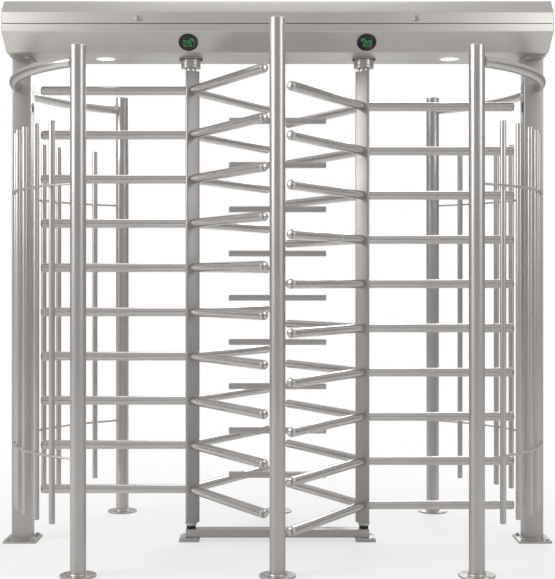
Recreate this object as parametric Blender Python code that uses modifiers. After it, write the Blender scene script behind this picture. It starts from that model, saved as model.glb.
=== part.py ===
"""Double full-height counting turnstile: two rotors with staggered arms between barred cages.

Metres, +Z up. X runs across the two lanes, people walk along Y, and the origin is on the
floor midway between the rotors.
"""

import math

import bmesh
import bpy
from mathutils import Matrix, Vector

# ---- driving dimensions -------------------------------------------------------------------

GAP = 0.0003  # clearance between touching pieces
RUNNING = 0.0003  # radial clearance of a turning or sliding fit

ROTOR_X = 0.371  # rotor axes stand at +-ROTOR_X
UNDERSIDE_Z = 2.069  # underside of the canopy; the other heights hang from it
TIERS = 10
LEFT_TOP_TIER = UNDERSIDE_Z - 0.139
LOWEST_TIER = 0.220
TIER_PITCH = (LEFT_TOP_TIER - LOWEST_TIER) / (TIERS - 1)
RIGHT_TOP_TIER = LEFT_TOP_TIER - 0.363 * TIER_PITCH
ARM_RADIUS = 0.019
ARM_REACH = 0.646  # rotor axis to the tip of an arm
ARM_SIDES = 12
ARM_DOME = 0.006
ARM_ROOT = 0.004  # how far an arm starts behind the axis

COLUMN_APOTHEM = 0.022  # axis to a flat face of the three-sided column
COLUMN_CORNER = 0.036  # axis to a blunted corner
COLUMN_WALL = 0.003
COLUMN_BOTTOM = 0.078
COLUMN_TOP = UNDERSIDE_Z - 0.059
CAP_THICKNESS = 0.003
PLUG_LENGTH = 0.028

NECK_RADIUS = 0.023
SPIGOT_RADIUS = 0.015
DISC_RADIUS = 0.075
DISC_THICKNESS = 0.012
DISC_NOTCHES = 12
NOTCH_DEPTH = 0.014
NOTCH_WIDTH = 0.014
DISC_Z = UNDERSIDE_Z + 0.025

FOOT_BOTTOM = 0.065
FOOT_COLLAR_RADIUS = 0.026
FOOT_PLUG_LENGTH = 0.030
PIVOT_RADIUS = 0.012
PIVOT_LENGTH = 0.030
RING_OUTER = 0.020

CANOPY_SHEET = 0.003
CANOPY_HALF_WIDTH = 0.226
UNDERSIDE_HALF_WIDTH = 0.132
ROOF_HALF_WIDTH = 0.172
BAND_BOTTOM_Z = UNDERSIDE_Z + 0.068
SEAM_Z = UNDERSIDE_Z + 0.1015
SEAM_GAP = 0.003
BAND_TOP_Z = UNDERSIDE_Z + 0.149
ROOF_Z = UNDERSIDE_Z + 0.206
LIP_RISE = 0.009

HOUSING_RADIUS = NECK_RADIUS + 0.020
HOUSING_FLANGE_RADIUS = HOUSING_RADIUS + 0.008
HOUSING_BOTTOM = UNDERSIDE_Z - 0.043
HOUSING_FLANGE = 0.006

BOLT_RADIUS = 0.006
BOLT_LENGTH = 0.060
BOLT_TRAVEL = 0.012
BOLT_REST_GAP = 0.002
SOLENOID_LENGTH = 0.058
SOLENOID_WIDTH = 0.044

POST_RADIUS = 0.030
POST_WALL = 0.003
CORNER_POST_X = ROTOR_X + 0.379
POST_Y = ARM_REACH - 0.006
CORNER_POST_TOP = UNDERSIDE_Z - 0.069
CENTRE_POST_TOP = UNDERSIDE_Z + 0.034
FLANGE_RADIUS = 0.069
FLANGE_THICKNESS = 0.008
WELD_RADIUS = 0.034
WELD_HEIGHT = 0.006
POST_SIDES = 20
ROUND_SIDES = 24  # of turned pieces and of the holes that they fit

COMB_BARS = 9
COMB_TOP = LEFT_TOP_TIER - 0.679 * TIER_PITCH
COMB_HALF_LENGTH = ROTOR_X - 0.162
COMB_THICKNESS = 0.025

SIDE_COLUMN_WIDTH = 0.082
SIDE_COLUMN_DEPTH = 0.084
SIDE_COLUMN_WALL = 0.004
BASE_PLATE_Y = 0.075
BASE_PLATE_THICKNESS = 0.010
TOP_PLATE_Y = 0.085
TOP_PLATE_THICKNESS = 0.006

RAIL_RADIUS = 0.0212
RAIL_Z = UNDERSIDE_Z - 0.129
RAIL_STEPS = 20
CAGE_CENTRE_X = ROTOR_X - 0.005  # rails and bars are struck from here
RAIL_CIRCLE = math.hypot(CORNER_POST_X - CAGE_CENTRE_X, POST_Y)
POST_ANGLE = math.atan2(POST_Y, CORNER_POST_X - CAGE_CENTRE_X)

BAR_RADIUS = 0.012
BAR_CIRCLE = RAIL_CIRCLE - 0.0084
BAR_BOTTOM = 0.178
BAR_TOP = UNDERSIDE_Z - 0.341
BARS_PER_PANEL = 5
FIRST_BAR_DEG = 12.0
BAR_STEP_DEG = 8.8
TIE_ROD_RADIUS = 0.0045
TIE_ROD_HEIGHTS = (0.441, 1.478)
TIE_ROD_BITE = 0.002  # how deep the welded rod sinks into each bar

BEAM_HALF_LENGTH = ROTOR_X + 0.022
BEAM_HALF_DEPTH = 0.032
BEAM_BOTTOM = 0.016
BEAM_TOP = 0.051
BEAM_FOOT_HALF_X = 0.042
BEAM_FOOT_HALF_Y = 0.048
BEAM_FOOT_X = ROTOR_X + 0.006

DISPLAY_X = ROTOR_X - 0.001
DISPLAY_RADIUS = 0.0405
DISPLAY_STRETCH = 1.12
DISPLAY_PROUD = 0.005
DISPLAY_BODY_RADIUS = 0.030
DISPLAY_BODY_DEPTH = 0.025

LIGHT_X = CORNER_POST_X - 0.012
LIGHT_RADIUS = 0.043
LIGHT_RIM = 0.0035
LIGHT_BODY_RADIUS = 0.034
LIGHT_BODY_HEIGHT = 0.028

LOCK_X = 0.572
LOCK_Z = SEAM_Z + 0.0215
LOCK_FACE_RADIUS = 0.014
LOCK_FACE = 0.003
LOCK_BARREL_RADIUS = 0.010
LOCK_BARREL = 0.016
TONGUE_WIDTH = 0.012
TONGUE_LENGTH = 0.038
TONGUE_THICKNESS = 0.003
KEEPER_CLEARANCE = 0.001
KEEPER_SHEET = 0.003
KEEPER_NEAR = 0.016
KEEPER_FAR = 0.052
KEEPER_DEPTH = 0.016

BOX_HALF_X = 0.110
BOX_HALF_Y = 0.075
BOX_HEIGHT = 0.060
BOX_WALL = 0.002

# ---- values that follow from them ---------------------------------------------------------

ROTOR_SIDES = (("left", -1.0), ("right", 1.0))
TRAY_FLOOR = UNDERSIDE_Z + CANOPY_SHEET
CHAMFER_TILT = math.atan2(
    BAND_BOTTOM_Z - UNDERSIDE_Z, CANOPY_HALF_WIDTH - UNDERSIDE_HALF_WIDTH
)
ROD_CIRCLE = BAR_CIRCLE + BAR_RADIUS + TIE_ROD_RADIUS - TIE_ROD_BITE
BOLT_Z = DISC_Z + DISC_THICKNESS / 2
SIDE_COLUMN_OUTER_X = CAGE_CENTRE_X + RAIL_CIRCLE + 0.0216
BASE_PLATE_X = (SIDE_COLUMN_OUTER_X - 0.110, SIDE_COLUMN_OUTER_X + 0.030)
CANOPY_HALF_LENGTH = SIDE_COLUMN_OUTER_X + 0.001
SIDE_COLUMN_X = SIDE_COLUMN_OUTER_X - SIDE_COLUMN_WIDTH / 2


# ---- scene and materials ------------------------------------------------------------------

for old in list(bpy.data.objects):
    bpy.data.objects.remove(old, do_unlink=True)

parts = bpy.data.collections.new("visitor_counter_turnstile")
cutters = bpy.data.collections.new("cutters")
bpy.context.scene.collection.children.link(parts)
bpy.context.scene.collection.children.link(cutters)


def material(name, colour, roughness, metallic):
    made = bpy.data.materials.new(name)
    made.use_nodes = True
    shader = made.node_tree.nodes["Principled BSDF"]
    shader.inputs["Base Color"].default_value = (*colour, 1.0)
    shader.inputs["Roughness"].default_value = roughness
    shader.inputs["Metallic"].default_value = metallic
    return made


STEEL = material("brushed_steel", (0.60, 0.58, 0.56), 0.32, 1.0)
BRIGHT = material("polished_steel", (0.70, 0.69, 0.67), 0.20, 1.0)
SHEET = material("canopy_steel", (0.62, 0.61, 0.57), 0.38, 1.0)
BLACK = material("black_plastic", (0.02, 0.02, 0.02), 0.35, 0.0)
WHITE = material("diffuser", (0.90, 0.90, 0.88), 0.40, 0.0)
ZINC = material("zinc_plate", (0.55, 0.56, 0.58), 0.45, 1.0)


# ---- modelling helpers --------------------------------------------------------------------


def keep(obj, finish, smooth=True):
    """Puts a finished piece in the parts collection with its material."""
    for home in list(obj.users_collection):
        home.objects.unlink(obj)
    parts.objects.link(obj)
    obj.data.materials.clear()
    obj.data.materials.append(finish)
    if smooth:
        obj.data.shade_smooth()
        obj.data.set_sharp_from_angle(angle=math.radians(35))
    return obj


def helper(obj):
    """Puts a tool shape in the cutters collection, out of the render."""
    for home in list(obj.users_collection):
        home.objects.unlink(obj)
    cutters.objects.link(obj)
    obj.hide_render = True
    obj.display_type = "WIRE"
    return obj


def from_bmesh(name, shape, location=(0, 0, 0)):
    mesh = bpy.data.meshes.new(name)
    bmesh.ops.recalc_face_normals(shape, faces=shape.faces)
    shape.to_mesh(mesh)
    shape.free()
    obj = bpy.data.objects.new(name, mesh)
    obj.location = location
    parts.objects.link(obj)
    return obj


def box(name, low, high):
    """A block between two corners, modelled about its own centre."""
    low = Vector(low)
    high = Vector(high)
    shape = bmesh.new()
    bmesh.ops.create_cube(shape, size=1.0)
    bmesh.ops.scale(shape, vec=high - low, verts=shape.verts)
    return from_bmesh(name, shape, (low + high) / 2)


def cylinder(name, radius, low, high, sides=16, centre=(0, 0)):
    """An upright round bar between two heights."""
    shape = bmesh.new()
    bmesh.ops.create_cone(
        shape, cap_ends=True, segments=sides, radius1=radius, radius2=radius, depth=high - low
    )
    return from_bmesh(name, shape, (centre[0], centre[1], (low + high) / 2))


def baked(obj):
    """Replaces an object by a plain mesh of its evaluated shape, with loose caps welded."""
    bpy.context.view_layer.update()
    graph = bpy.context.evaluated_depsgraph_get()
    mesh = bpy.data.meshes.new_from_object(obj.evaluated_get(graph))
    shape = bmesh.new()
    shape.from_mesh(mesh)
    bmesh.ops.remove_doubles(shape, verts=shape.verts, dist=0.00001)
    shape.to_mesh(mesh)
    shape.free()
    name = obj.name
    plain = bpy.data.objects.new(name, mesh)
    plain.matrix_world = obj.matrix_world.copy()
    bpy.data.objects.remove(obj, do_unlink=True)
    plain.name = name
    parts.objects.link(plain)
    return plain


def prism(name, outline, thickness):
    """A flat outline in the local XY plane, centred through its thickness."""
    curve = bpy.data.curves.new(name, "CURVE")
    curve.dimensions = "2D"
    curve.fill_mode = "BOTH"
    curve.extrude = thickness / 2
    spline = curve.splines.new("POLY")
    spline.points.add(len(outline) - 1)
    for point, (x, y) in zip(spline.points, outline):
        point.co = (x, y, 0, 1)
    spline.use_cyclic_u = True
    obj = bpy.data.objects.new(name, curve)
    parts.objects.link(obj)
    return baked(obj)


def along_x(name, outline, half_length):
    """A (y, z) outline carried along X from -half_length to +half_length."""
    obj = prism(name, outline, 2 * half_length)
    obj.rotation_euler = (math.pi / 2, 0, math.pi / 2)
    return obj


def tube(name, points, radius, resolution):
    """A round bar that follows points."""
    curve = bpy.data.curves.new(name, "CURVE")
    curve.dimensions = "3D"
    curve.bevel_depth = radius
    curve.bevel_resolution = resolution
    curve.use_fill_caps = True
    spline = curve.splines.new("POLY")
    spline.points.add(len(points) - 1)
    for point, place in zip(spline.points, points):
        point.co = (*place, 1)
    obj = bpy.data.objects.new(name, curve)
    parts.objects.link(obj)
    return baked(obj)


def turned(name, profile, steps, location=(0, 0, 0), closed=False):
    """A (radius, z) profile, outer side running down, swept round Z."""
    shape = bmesh.new()
    points = [shape.verts.new((radius, 0, z)) for radius, z in profile]
    for first, second in zip(points, points[1:]):
        shape.edges.new((first, second))
    if closed:
        shape.edges.new((points[-1], points[0]))
    mesh = bpy.data.meshes.new(name)
    shape.to_mesh(mesh)
    shape.free()
    obj = bpy.data.objects.new(name, mesh)
    obj.location = location
    parts.objects.link(obj)
    screw = obj.modifiers.new("turn", "SCREW")
    screw.steps = steps
    screw.render_steps = steps
    screw.use_merge_vertices = True
    screw.merge_threshold = 0.00001
    return baked(obj)


def boolean(target, tool, operation):
    step = target.modifiers.new(tool.name, "BOOLEAN")
    step.operation = operation
    step.solver = "EXACT"
    step.object = helper(tool)
    return target


def join(target, *tools):
    for tool in tools:
        boolean(target, tool, "UNION")
    return target


def cut(target, *tools):
    for tool in tools:
        boolean(target, tool, "DIFFERENCE")
    return target


def copy_of(name, source, matrix):
    """Another object on the same mesh, moved by a matrix from where the first one stands."""
    obj = bpy.data.objects.new(name, source.data)
    obj.matrix_world = matrix @ source.matrix_world
    parts.objects.link(obj)
    return obj


def drop(obj):
    bpy.data.objects.remove(obj, do_unlink=True)


def on_circle(radius, degrees_from_side, side, front, z=0.0):
    """A point on a cage circle; 0 degrees is straight out to the side."""
    angle = math.radians(degrees_from_side)
    x = side * (CAGE_CENTRE_X + radius * math.cos(angle))
    return (x, front * radius * math.sin(angle), z)


def rotor_empty(side, sign):
    """The joint frame that a rotor's pieces hang from; the right one is turned half round."""
    empty = bpy.data.objects.new(f"{side}_rotor_axis", None)
    empty.location = (sign * ROTOR_X, 0, 0)
    empty.rotation_euler = (0, 0, 0 if sign < 0 else math.pi)
    parts.objects.link(empty)
    return empty


# ---- rotors, drawn for the left one with its axis on the local Z ---------------------------


def three_sided(apothem, corner):
    """Outline of a triangle with blunted corners: flats face 180, 300 and 60 degrees."""
    half = (2 * apothem - corner) * math.tan(math.radians(30))
    outline = []
    for corner_deg in (0, 120, 240):
        angle = math.radians(corner_deg)
        along = Vector((math.cos(angle), math.sin(angle)))
        across = Vector((-math.sin(angle), math.cos(angle)))
        outline.append(tuple(along * corner - across * half))
        outline.append(tuple(along * corner + across * half))
    return outline


def arm(name, degrees, radius=ARM_RADIUS, reach=ARM_REACH, dome=ARM_DOME):
    """One level arm with a shallow domed end, from just behind the axis."""
    profile = [(0, reach), (radius * 0.62, reach - dome * 0.3), (radius, reach - dome)]
    profile += [(radius, -ARM_ROOT), (0, -ARM_ROOT)]
    obj = turned(name, profile, ARM_SIDES)
    turn = Matrix.Rotation(math.radians(degrees), 4, "Z") @ Matrix.Rotation(math.pi / 2, 4, "Y")
    obj.matrix_world = turn
    return obj


def arm_tier():
    """Three arms in one level, joined where they meet inside the column."""
    first = arm("arm_180", 180)
    join(first, arm("arm_300", 300), arm("arm_60", 60))
    return baked(first)


def rotor_column(tier_heights):
    """The three-sided tube, pierced for each arm."""
    height = COLUMN_TOP - COLUMN_BOTTOM
    middle = (COLUMN_TOP + COLUMN_BOTTOM) / 2
    column = prism("rotor_column", three_sided(COLUMN_APOTHEM, COLUMN_CORNER), height)
    column.location.z = middle
    inner = three_sided(COLUMN_APOTHEM - COLUMN_WALL, COLUMN_CORNER - COLUMN_WALL)
    bore = prism("column_bore", inner, height + 0.02)
    bore.location.z = middle
    cut(column, bore)
    hole = arm("arm_hole", 180, ARM_RADIUS + GAP, 0.06, 0.0001)
    for number, z in enumerate(tier_heights):
        for degrees in (0, 120, 240):
            turn = Matrix.Translation((0, 0, z)) @ Matrix.Rotation(math.radians(degrees), 4, "Z")
            cut(column, copy_of(f"arm_hole_{number}_{degrees}", hole, turn))
    helper(hole)
    return baked(column)


def rotor_shaft():
    """Top plug, cap, neck and spigot in one turned and shouldered piece."""
    cap_top = COLUMN_TOP + GAP + CAP_THICKNESS
    spigot_top = DISC_Z + DISC_THICKNESS + 0.010
    profile = [(0, spigot_top), (SPIGOT_RADIUS, spigot_top)]
    profile += [(SPIGOT_RADIUS, DISC_Z - GAP), (NECK_RADIUS, DISC_Z - GAP)]
    profile += [(NECK_RADIUS, cap_top - 0.001), (0, cap_top - 0.001)]
    shaft = turned("rotor_shaft", profile, 20)
    cap = prism("shaft_cap", three_sided(COLUMN_APOTHEM, COLUMN_CORNER), CAP_THICKNESS)
    cap.location.z = cap_top - CAP_THICKNESS / 2
    play = COLUMN_WALL + GAP
    inner = three_sided(COLUMN_APOTHEM - play, COLUMN_CORNER - play)
    plug = prism("shaft_plug", inner, PLUG_LENGTH)
    plug.location.z = cap_top - 0.001 - PLUG_LENGTH / 2
    return baked(join(shaft, cap, plug))


def index_disc():
    """The notched disc that a lock bolt holds; one notch every 30 degrees."""
    profile = [(DISC_RADIUS, DISC_Z + DISC_THICKNESS), (DISC_RADIUS, DISC_Z)]
    profile += [(SPIGOT_RADIUS + GAP, DISC_Z), (SPIGOT_RADIUS + GAP, DISC_Z + DISC_THICKNESS)]
    disc = turned("index_disc", profile, ROUND_SIDES, closed=True)
    inner = DISC_RADIUS - NOTCH_DEPTH
    for number in range(DISC_NOTCHES // 2):
        slot = box(
            f"notch_{number}",
            (-DISC_RADIUS * 1.1, -NOTCH_WIDTH / 2, DISC_Z - 0.005),
            (DISC_RADIUS * 1.1, NOTCH_WIDTH / 2, DISC_Z + DISC_THICKNESS + 0.005),
        )
        low = DISC_Z - 0.01
        high = DISC_Z + DISC_THICKNESS + 0.01
        core = cylinder(f"core_{number}", inner, low, high, ROUND_SIDES)
        cut(slot, core)
        slot = baked(slot)
        slot.rotation_euler.z = number * 2 * math.pi / DISC_NOTCHES
        cut(disc, slot)
    return baked(disc)


def rotor_foot():
    """Bottom plug with a round collar and a blind bore for the floor pivot."""
    bore_top = BEAM_TOP + PIVOT_LENGTH + GAP
    top = COLUMN_BOTTOM - GAP
    play = COLUMN_WALL + GAP
    outline = three_sided(COLUMN_APOTHEM - play, COLUMN_CORNER - play)
    plug = prism("foot_plug", outline, FOOT_PLUG_LENGTH)
    plug.location.z = top + FOOT_PLUG_LENGTH / 2 - 0.003
    collar = cylinder("foot_collar", FOOT_COLLAR_RADIUS, FOOT_BOTTOM, top, 16)
    hole = cylinder("pivot_hole", PIVOT_RADIUS + RUNNING, FOOT_BOTTOM - 0.01, bore_top, 16)
    return baked(cut(join(collar, plug), hole))


def tier_heights(top):
    return [top - TIER_PITCH * number for number in range(TIERS)]


def build_rotors():
    tier = arm_tier()
    shaft = rotor_shaft()
    disc = index_disc()
    foot = rotor_foot()
    for side, sign in ROTOR_SIDES:
        axis = rotor_empty(side, sign)
        heights = tier_heights(LEFT_TOP_TIER if sign < 0 else RIGHT_TOP_TIER)
        column = rotor_column(heights)
        column.name = f"{side}_rotor_column"
        pieces = [keep(column, STEEL, smooth=False)]
        for number, z in enumerate(heights):
            name = f"{side}_arm_tier_{number + 1:02d}"
            pieces.append(keep(copy_of(name, tier, Matrix.Translation((0, 0, z))), BRIGHT))
        pieces.append(keep(copy_of(f"{side}_rotor_shaft", shaft, Matrix()), STEEL))
        pieces.append(keep(copy_of(f"{side}_index_disc", disc, Matrix()), ZINC))
        pieces.append(keep(copy_of(f"{side}_rotor_foot", foot, Matrix()), STEEL))
        for piece in pieces:
            piece.parent = axis
    for source in (tier, shaft, disc, foot):
        drop(source)


def build_bearings():
    """Black thrust rings under the rotors and flanged housings under the canopy."""
    ring_bore = PIVOT_RADIUS + RUNNING
    ring = [(RING_OUTER, FOOT_BOTTOM - GAP), (RING_OUTER, BEAM_TOP + GAP)]
    ring += [(ring_bore, BEAM_TOP + GAP), (ring_bore, FOOT_BOTTOM - GAP)]
    bore = NECK_RADIUS + RUNNING
    top = UNDERSIDE_Z - GAP
    housing = [(HOUSING_FLANGE_RADIUS, top), (HOUSING_FLANGE_RADIUS, top - HOUSING_FLANGE)]
    housing += [(HOUSING_RADIUS, top - HOUSING_FLANGE), (HOUSING_RADIUS, HOUSING_BOTTOM)]
    housing += [(bore, HOUSING_BOTTOM), (bore, top)]
    for side, sign in ROTOR_SIDES:
        place = (sign * ROTOR_X, 0, 0)
        keep(turned(f"{side}_foot_bearing", ring, 16, place, closed=True), BLACK)
        housing_piece = turned(f"{side}_upper_bearing", housing, ROUND_SIDES, place, closed=True)
        keep(housing_piece, STEEL)


# ---- lock mechanism in the canopy -----------------------------------------------------------


def build_rotor_locks():
    """A spring-returned bolt in a solenoid, pointing at each index disc from the middle."""
    for side, sign in ROTOR_SIDES:
        inward = -sign
        tip = sign * ROTOR_X + inward * (DISC_RADIUS + BOLT_REST_GAP)
        centre = tip + inward * BOLT_LENGTH / 2
        turn = Matrix.Rotation(math.pi / 2, 4, "Y")
        bolt = cylinder(f"{side}_lock_bolt", BOLT_RADIUS, -BOLT_LENGTH / 2, BOLT_LENGTH / 2, 12)
        bolt.matrix_world = Matrix.Translation((centre, 0, BOLT_Z)) @ turn
        keep(bolt, BRIGHT)
        near = tip + inward * (BOLT_TRAVEL + 0.006)
        far = near + inward * SOLENOID_LENGTH
        body = box(
            f"{side}_solenoid",
            (min(near, far), -SOLENOID_WIDTH / 2, TRAY_FLOOR + GAP),
            (max(near, far), SOLENOID_WIDTH / 2, BOLT_Z + SOLENOID_WIDTH / 2),
        )
        bore = cylinder(f"{side}_solenoid_bore", BOLT_RADIUS + RUNNING, -0.05, 0.05, 12)
        bore.matrix_world = Matrix.Translation(((near + far) / 2, 0, BOLT_Z)) @ turn
        keep(baked(cut(body, bore)), ZINC, smooth=False)


def build_controller():
    """The control box: an open-bottomed sheet cover standing on the canopy floor."""
    floor = TRAY_FLOOR + GAP
    low = (-BOX_HALF_X, -BOX_HALF_Y, floor)
    high = (BOX_HALF_X, BOX_HALF_Y, floor + BOX_HEIGHT)
    case = box("controller_box", low, high)
    inner_low = (-BOX_HALF_X + BOX_WALL, -BOX_HALF_Y + BOX_WALL, floor - 0.01)
    inner_high = (BOX_HALF_X - BOX_WALL, BOX_HALF_Y - BOX_WALL, floor + BOX_HEIGHT - BOX_WALL)
    cut(case, box("controller_inside", inner_low, inner_high))
    keep(baked(case), BLACK, smooth=False)


# ---- canopy ---------------------------------------------------------------------------------


def mirrored_outline(half):
    """Closes a half outline, given on the +y side from top to bottom, about y = 0."""
    return half + [(-y, z) for y, z in reversed(half)]


def canopy_tray():
    """Lower half: floor, sloping sides, side bands, an inner lip and end walls."""
    rim = SEAM_Z - SEAM_GAP / 2
    outer = [(CANOPY_HALF_WIDTH, rim), (CANOPY_HALF_WIDTH, BAND_BOTTOM_Z)]
    outer += [(UNDERSIDE_HALF_WIDTH, UNDERSIDE_Z)]
    tray = along_x("canopy_tray", mirrored_outline(outer), CANOPY_HALF_LENGTH)
    wall = CANOPY_SHEET
    slope = wall * math.tan(CHAMFER_TILT / 2)
    knee = BAND_BOTTOM_Z + wall * math.tan((math.pi / 2 - CHAMFER_TILT) / 2)
    inner = [(CANOPY_HALF_WIDTH - wall, rim + 0.02), (CANOPY_HALF_WIDTH - wall, knee)]
    inner += [(UNDERSIDE_HALF_WIDTH - slope, UNDERSIDE_Z + wall)]
    cavity = along_x("tray_cavity", mirrored_outline(inner), CANOPY_HALF_LENGTH - wall)
    cut(tray, cavity)
    add_lips(tray)
    add_keepers(tray)
    cut_tray_openings(tray)
    keep(baked(tray), SHEET, smooth=False)


def lip_places():
    outer = CANOPY_HALF_WIDTH - CANOPY_SHEET - GAP
    return outer - CANOPY_SHEET, outer


def add_lips(tray):
    """Upright strips that stand inside the cover's edge and hide the seam."""
    inner, outer = lip_places()
    slope = math.tan(CHAMFER_TILT)
    foot = BAND_BOTTOM_Z - (CANOPY_HALF_WIDTH - outer) * slope + CANOPY_SHEET / 3
    half = CANOPY_HALF_LENGTH - 2 * CANOPY_SHEET
    for name, sign in (("front_lip", -1), ("rear_lip", 1)):
        y_values = sorted((sign * inner, sign * outer))
        low = (-half, y_values[0], foot)
        high = (half, y_values[1], SEAM_Z + LIP_RISE)
        join(tray, box(name, low, high))


def add_keepers(tray):
    """Hooks on the front lip that the cover locks' tongues turn under."""
    inner, _ = lip_places()
    under = LOCK_Z + TONGUE_WIDTH / 2 + KEEPER_CLEARANCE
    back = -inner - 0.0005
    for side, sign in ROTOR_SIDES:
        x_values = sorted((sign * (LOCK_X - KEEPER_NEAR), sign * (LOCK_X - KEEPER_FAR)))
        low = (x_values[0], back, SEAM_Z)
        high = (x_values[1], back + KEEPER_SHEET, under + KEEPER_SHEET)
        leg = box(f"{side}_keeper_leg", low, high)
        low = (x_values[0], back + 0.001, under)
        high = (x_values[1], back + KEEPER_DEPTH, under + KEEPER_SHEET)
        join(tray, leg, box(f"{side}_keeper_shelf", low, high))


def cut_tray_openings(tray):
    """Holes for shafts, downlights and displays, and over the side columns."""
    low = UNDERSIDE_Z - 0.07
    high = UNDERSIDE_Z + 0.02
    for side, sign in ROTOR_SIDES:
        x = sign * ROTOR_X
        shaft_hole = NECK_RADIUS + 0.004
        cut(tray, cylinder(f"{side}_shaft_hole", shaft_hole, low, high, 20, (x, 0)))
        x = sign * LIGHT_X
        light_hole = LIGHT_BODY_RADIUS + GAP
        cut(tray, cylinder(f"{side}_light_hole", light_hole, low, high, ROUND_SIDES, (x, 0)))
        hole_radius = DISPLAY_BODY_RADIUS + GAP
        hole = cylinder(f"{side}_display_hole", hole_radius, -0.02, 0.02, ROUND_SIDES)
        hole.matrix_world = chamfer_frame(sign * DISPLAY_X)
        cut(tray, hole)


def chamfer_frame(x):
    """A frame on the middle of the front lower slope, +Z pointing out of the sheet."""
    y = -(CANOPY_HALF_WIDTH + UNDERSIDE_HALF_WIDTH) / 2
    z = (BAND_BOTTOM_Z + UNDERSIDE_Z) / 2
    return Matrix.Translation((x, y, z)) @ Matrix.Rotation(math.pi - CHAMFER_TILT, 4, "X")


def canopy_cover():
    """Upper half: side bands, sloping shoulders, flat roof and end walls, hinged behind."""
    rim = SEAM_Z + SEAM_GAP / 2
    wall = CANOPY_SHEET
    outer = [(ROOF_HALF_WIDTH, ROOF_Z), (CANOPY_HALF_WIDTH, BAND_TOP_Z), (CANOPY_HALF_WIDTH, rim)]
    shoulder = math.atan2(ROOF_Z - BAND_TOP_Z, CANOPY_HALF_WIDTH - ROOF_HALF_WIDTH)
    slope = wall * math.tan(shoulder / 2)
    knee = wall * math.tan((math.pi / 2 - shoulder) / 2)
    inner = [(ROOF_HALF_WIDTH - slope, ROOF_Z - wall)]
    inner += [(CANOPY_HALF_WIDTH - wall, BAND_TOP_Z - knee), (CANOPY_HALF_WIDTH - wall, rim - 0.02)]
    cover = along_x("canopy_cover", mirrored_outline(outer), CANOPY_HALF_LENGTH)
    cavity = along_x("cover_cavity", mirrored_outline(inner), CANOPY_HALF_LENGTH - wall)
    cut(cover, cavity)
    for side, sign in ROTOR_SIDES:
        hole = cylinder(f"{side}_lock_hole", LOCK_BARREL_RADIUS + RUNNING, -0.02, 0.02, 16)
        hole.location = (sign * LOCK_X, -CANOPY_HALF_WIDTH, LOCK_Z)
        hole.rotation_euler.x = math.pi / 2
        cut(cover, hole)
    keep(baked(cover), SHEET, smooth=False)


def build_cover_locks():
    """Cam locks: a round face and barrel with a tongue that hangs down when unlocked."""
    for side, sign in ROTOR_SIDES:
        face_back = CANOPY_HALF_WIDTH + GAP
        inner_end = CANOPY_HALF_WIDTH - LOCK_BARREL
        profile = [(0, face_back + LOCK_FACE), (LOCK_FACE_RADIUS, face_back + LOCK_FACE)]
        profile += [(LOCK_FACE_RADIUS, face_back), (LOCK_BARREL_RADIUS, face_back)]
        profile += [(LOCK_BARREL_RADIUS, inner_end), (0, inner_end)]
        barrel = turned(f"{side}_cover_lock", profile, 16)
        barrel.matrix_world = (
            Matrix.Translation((sign * LOCK_X, 0, LOCK_Z)) @ Matrix.Rotation(math.pi / 2, 4, "X")
        )
        low = (sign * LOCK_X - TONGUE_WIDTH / 2, -inner_end - 0.001, LOCK_Z - TONGUE_LENGTH)
        high = (
            sign * LOCK_X + TONGUE_WIDTH / 2,
            -inner_end - 0.001 + TONGUE_THICKNESS,
            LOCK_Z + TONGUE_WIDTH / 2,
        )
        keep(baked(join(barrel, box(f"{side}_tongue", low, high))), BRIGHT)


def build_canopy_lamps():
    """Round arrow displays on the front slope and downlights in the underside."""
    display = [(0, GAP + DISPLAY_PROUD), (DISPLAY_RADIUS - 0.002, GAP + DISPLAY_PROUD)]
    display += [(DISPLAY_RADIUS, GAP + DISPLAY_PROUD - 0.002), (DISPLAY_RADIUS, GAP)]
    display += [(DISPLAY_BODY_RADIUS, GAP), (DISPLAY_BODY_RADIUS, -DISPLAY_BODY_DEPTH)]
    display += [(0, -DISPLAY_BODY_DEPTH)]
    rim_top = UNDERSIDE_Z - GAP
    light = [(0, rim_top + LIGHT_BODY_HEIGHT), (LIGHT_BODY_RADIUS, rim_top + LIGHT_BODY_HEIGHT)]
    light += [(LIGHT_BODY_RADIUS, rim_top), (LIGHT_RADIUS, rim_top)]
    light += [(LIGHT_RADIUS - 0.002, rim_top - LIGHT_RIM), (0, rim_top - LIGHT_RIM)]
    for side, sign in ROTOR_SIDES:
        module = turned(f"{side}_display", display, ROUND_SIDES)
        for vertex in module.data.vertices:
            if vertex.co.xy.length > DISPLAY_BODY_RADIUS * 1.01:
                vertex.co.y *= DISPLAY_STRETCH
        module.matrix_world = chamfer_frame(sign * DISPLAY_X)
        keep(module, BLACK)
        lamp = turned(f"{side}_downlight", light, ROUND_SIDES, (sign * LIGHT_X, 0, 0))
        keep(lamp, WHITE)


# ---- posts, comb and floor beam -------------------------------------------------------------


def post(name, x, y, top):
    """A round tube on a bolt-down flange, capped at the top and open underneath."""
    inner = POST_RADIUS - POST_WALL
    weld_top = FLANGE_THICKNESS + WELD_HEIGHT
    profile = [(0, top), (POST_RADIUS - 0.003, top), (POST_RADIUS, top - 0.003)]
    profile += [(POST_RADIUS, weld_top), (WELD_RADIUS, FLANGE_THICKNESS)]
    profile += [(FLANGE_RADIUS, FLANGE_THICKNESS), (FLANGE_RADIUS, 0)]
    profile += [(inner, 0), (inner, top - POST_WALL), (0, top - POST_WALL)]
    return turned(name, profile, POST_SIDES, (x, y, 0))


def build_posts():
    for end, front in (("front", -1), ("rear", 1)):
        for side, sign in ROTOR_SIDES:
            place = (sign * CORNER_POST_X, front * POST_Y)
            keep(post(f"{end}_{side}_post", *place, CORNER_POST_TOP), STEEL)
    keep(post("front_centre_post", 0, -POST_Y, CENTRE_POST_TOP), STEEL)


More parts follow.
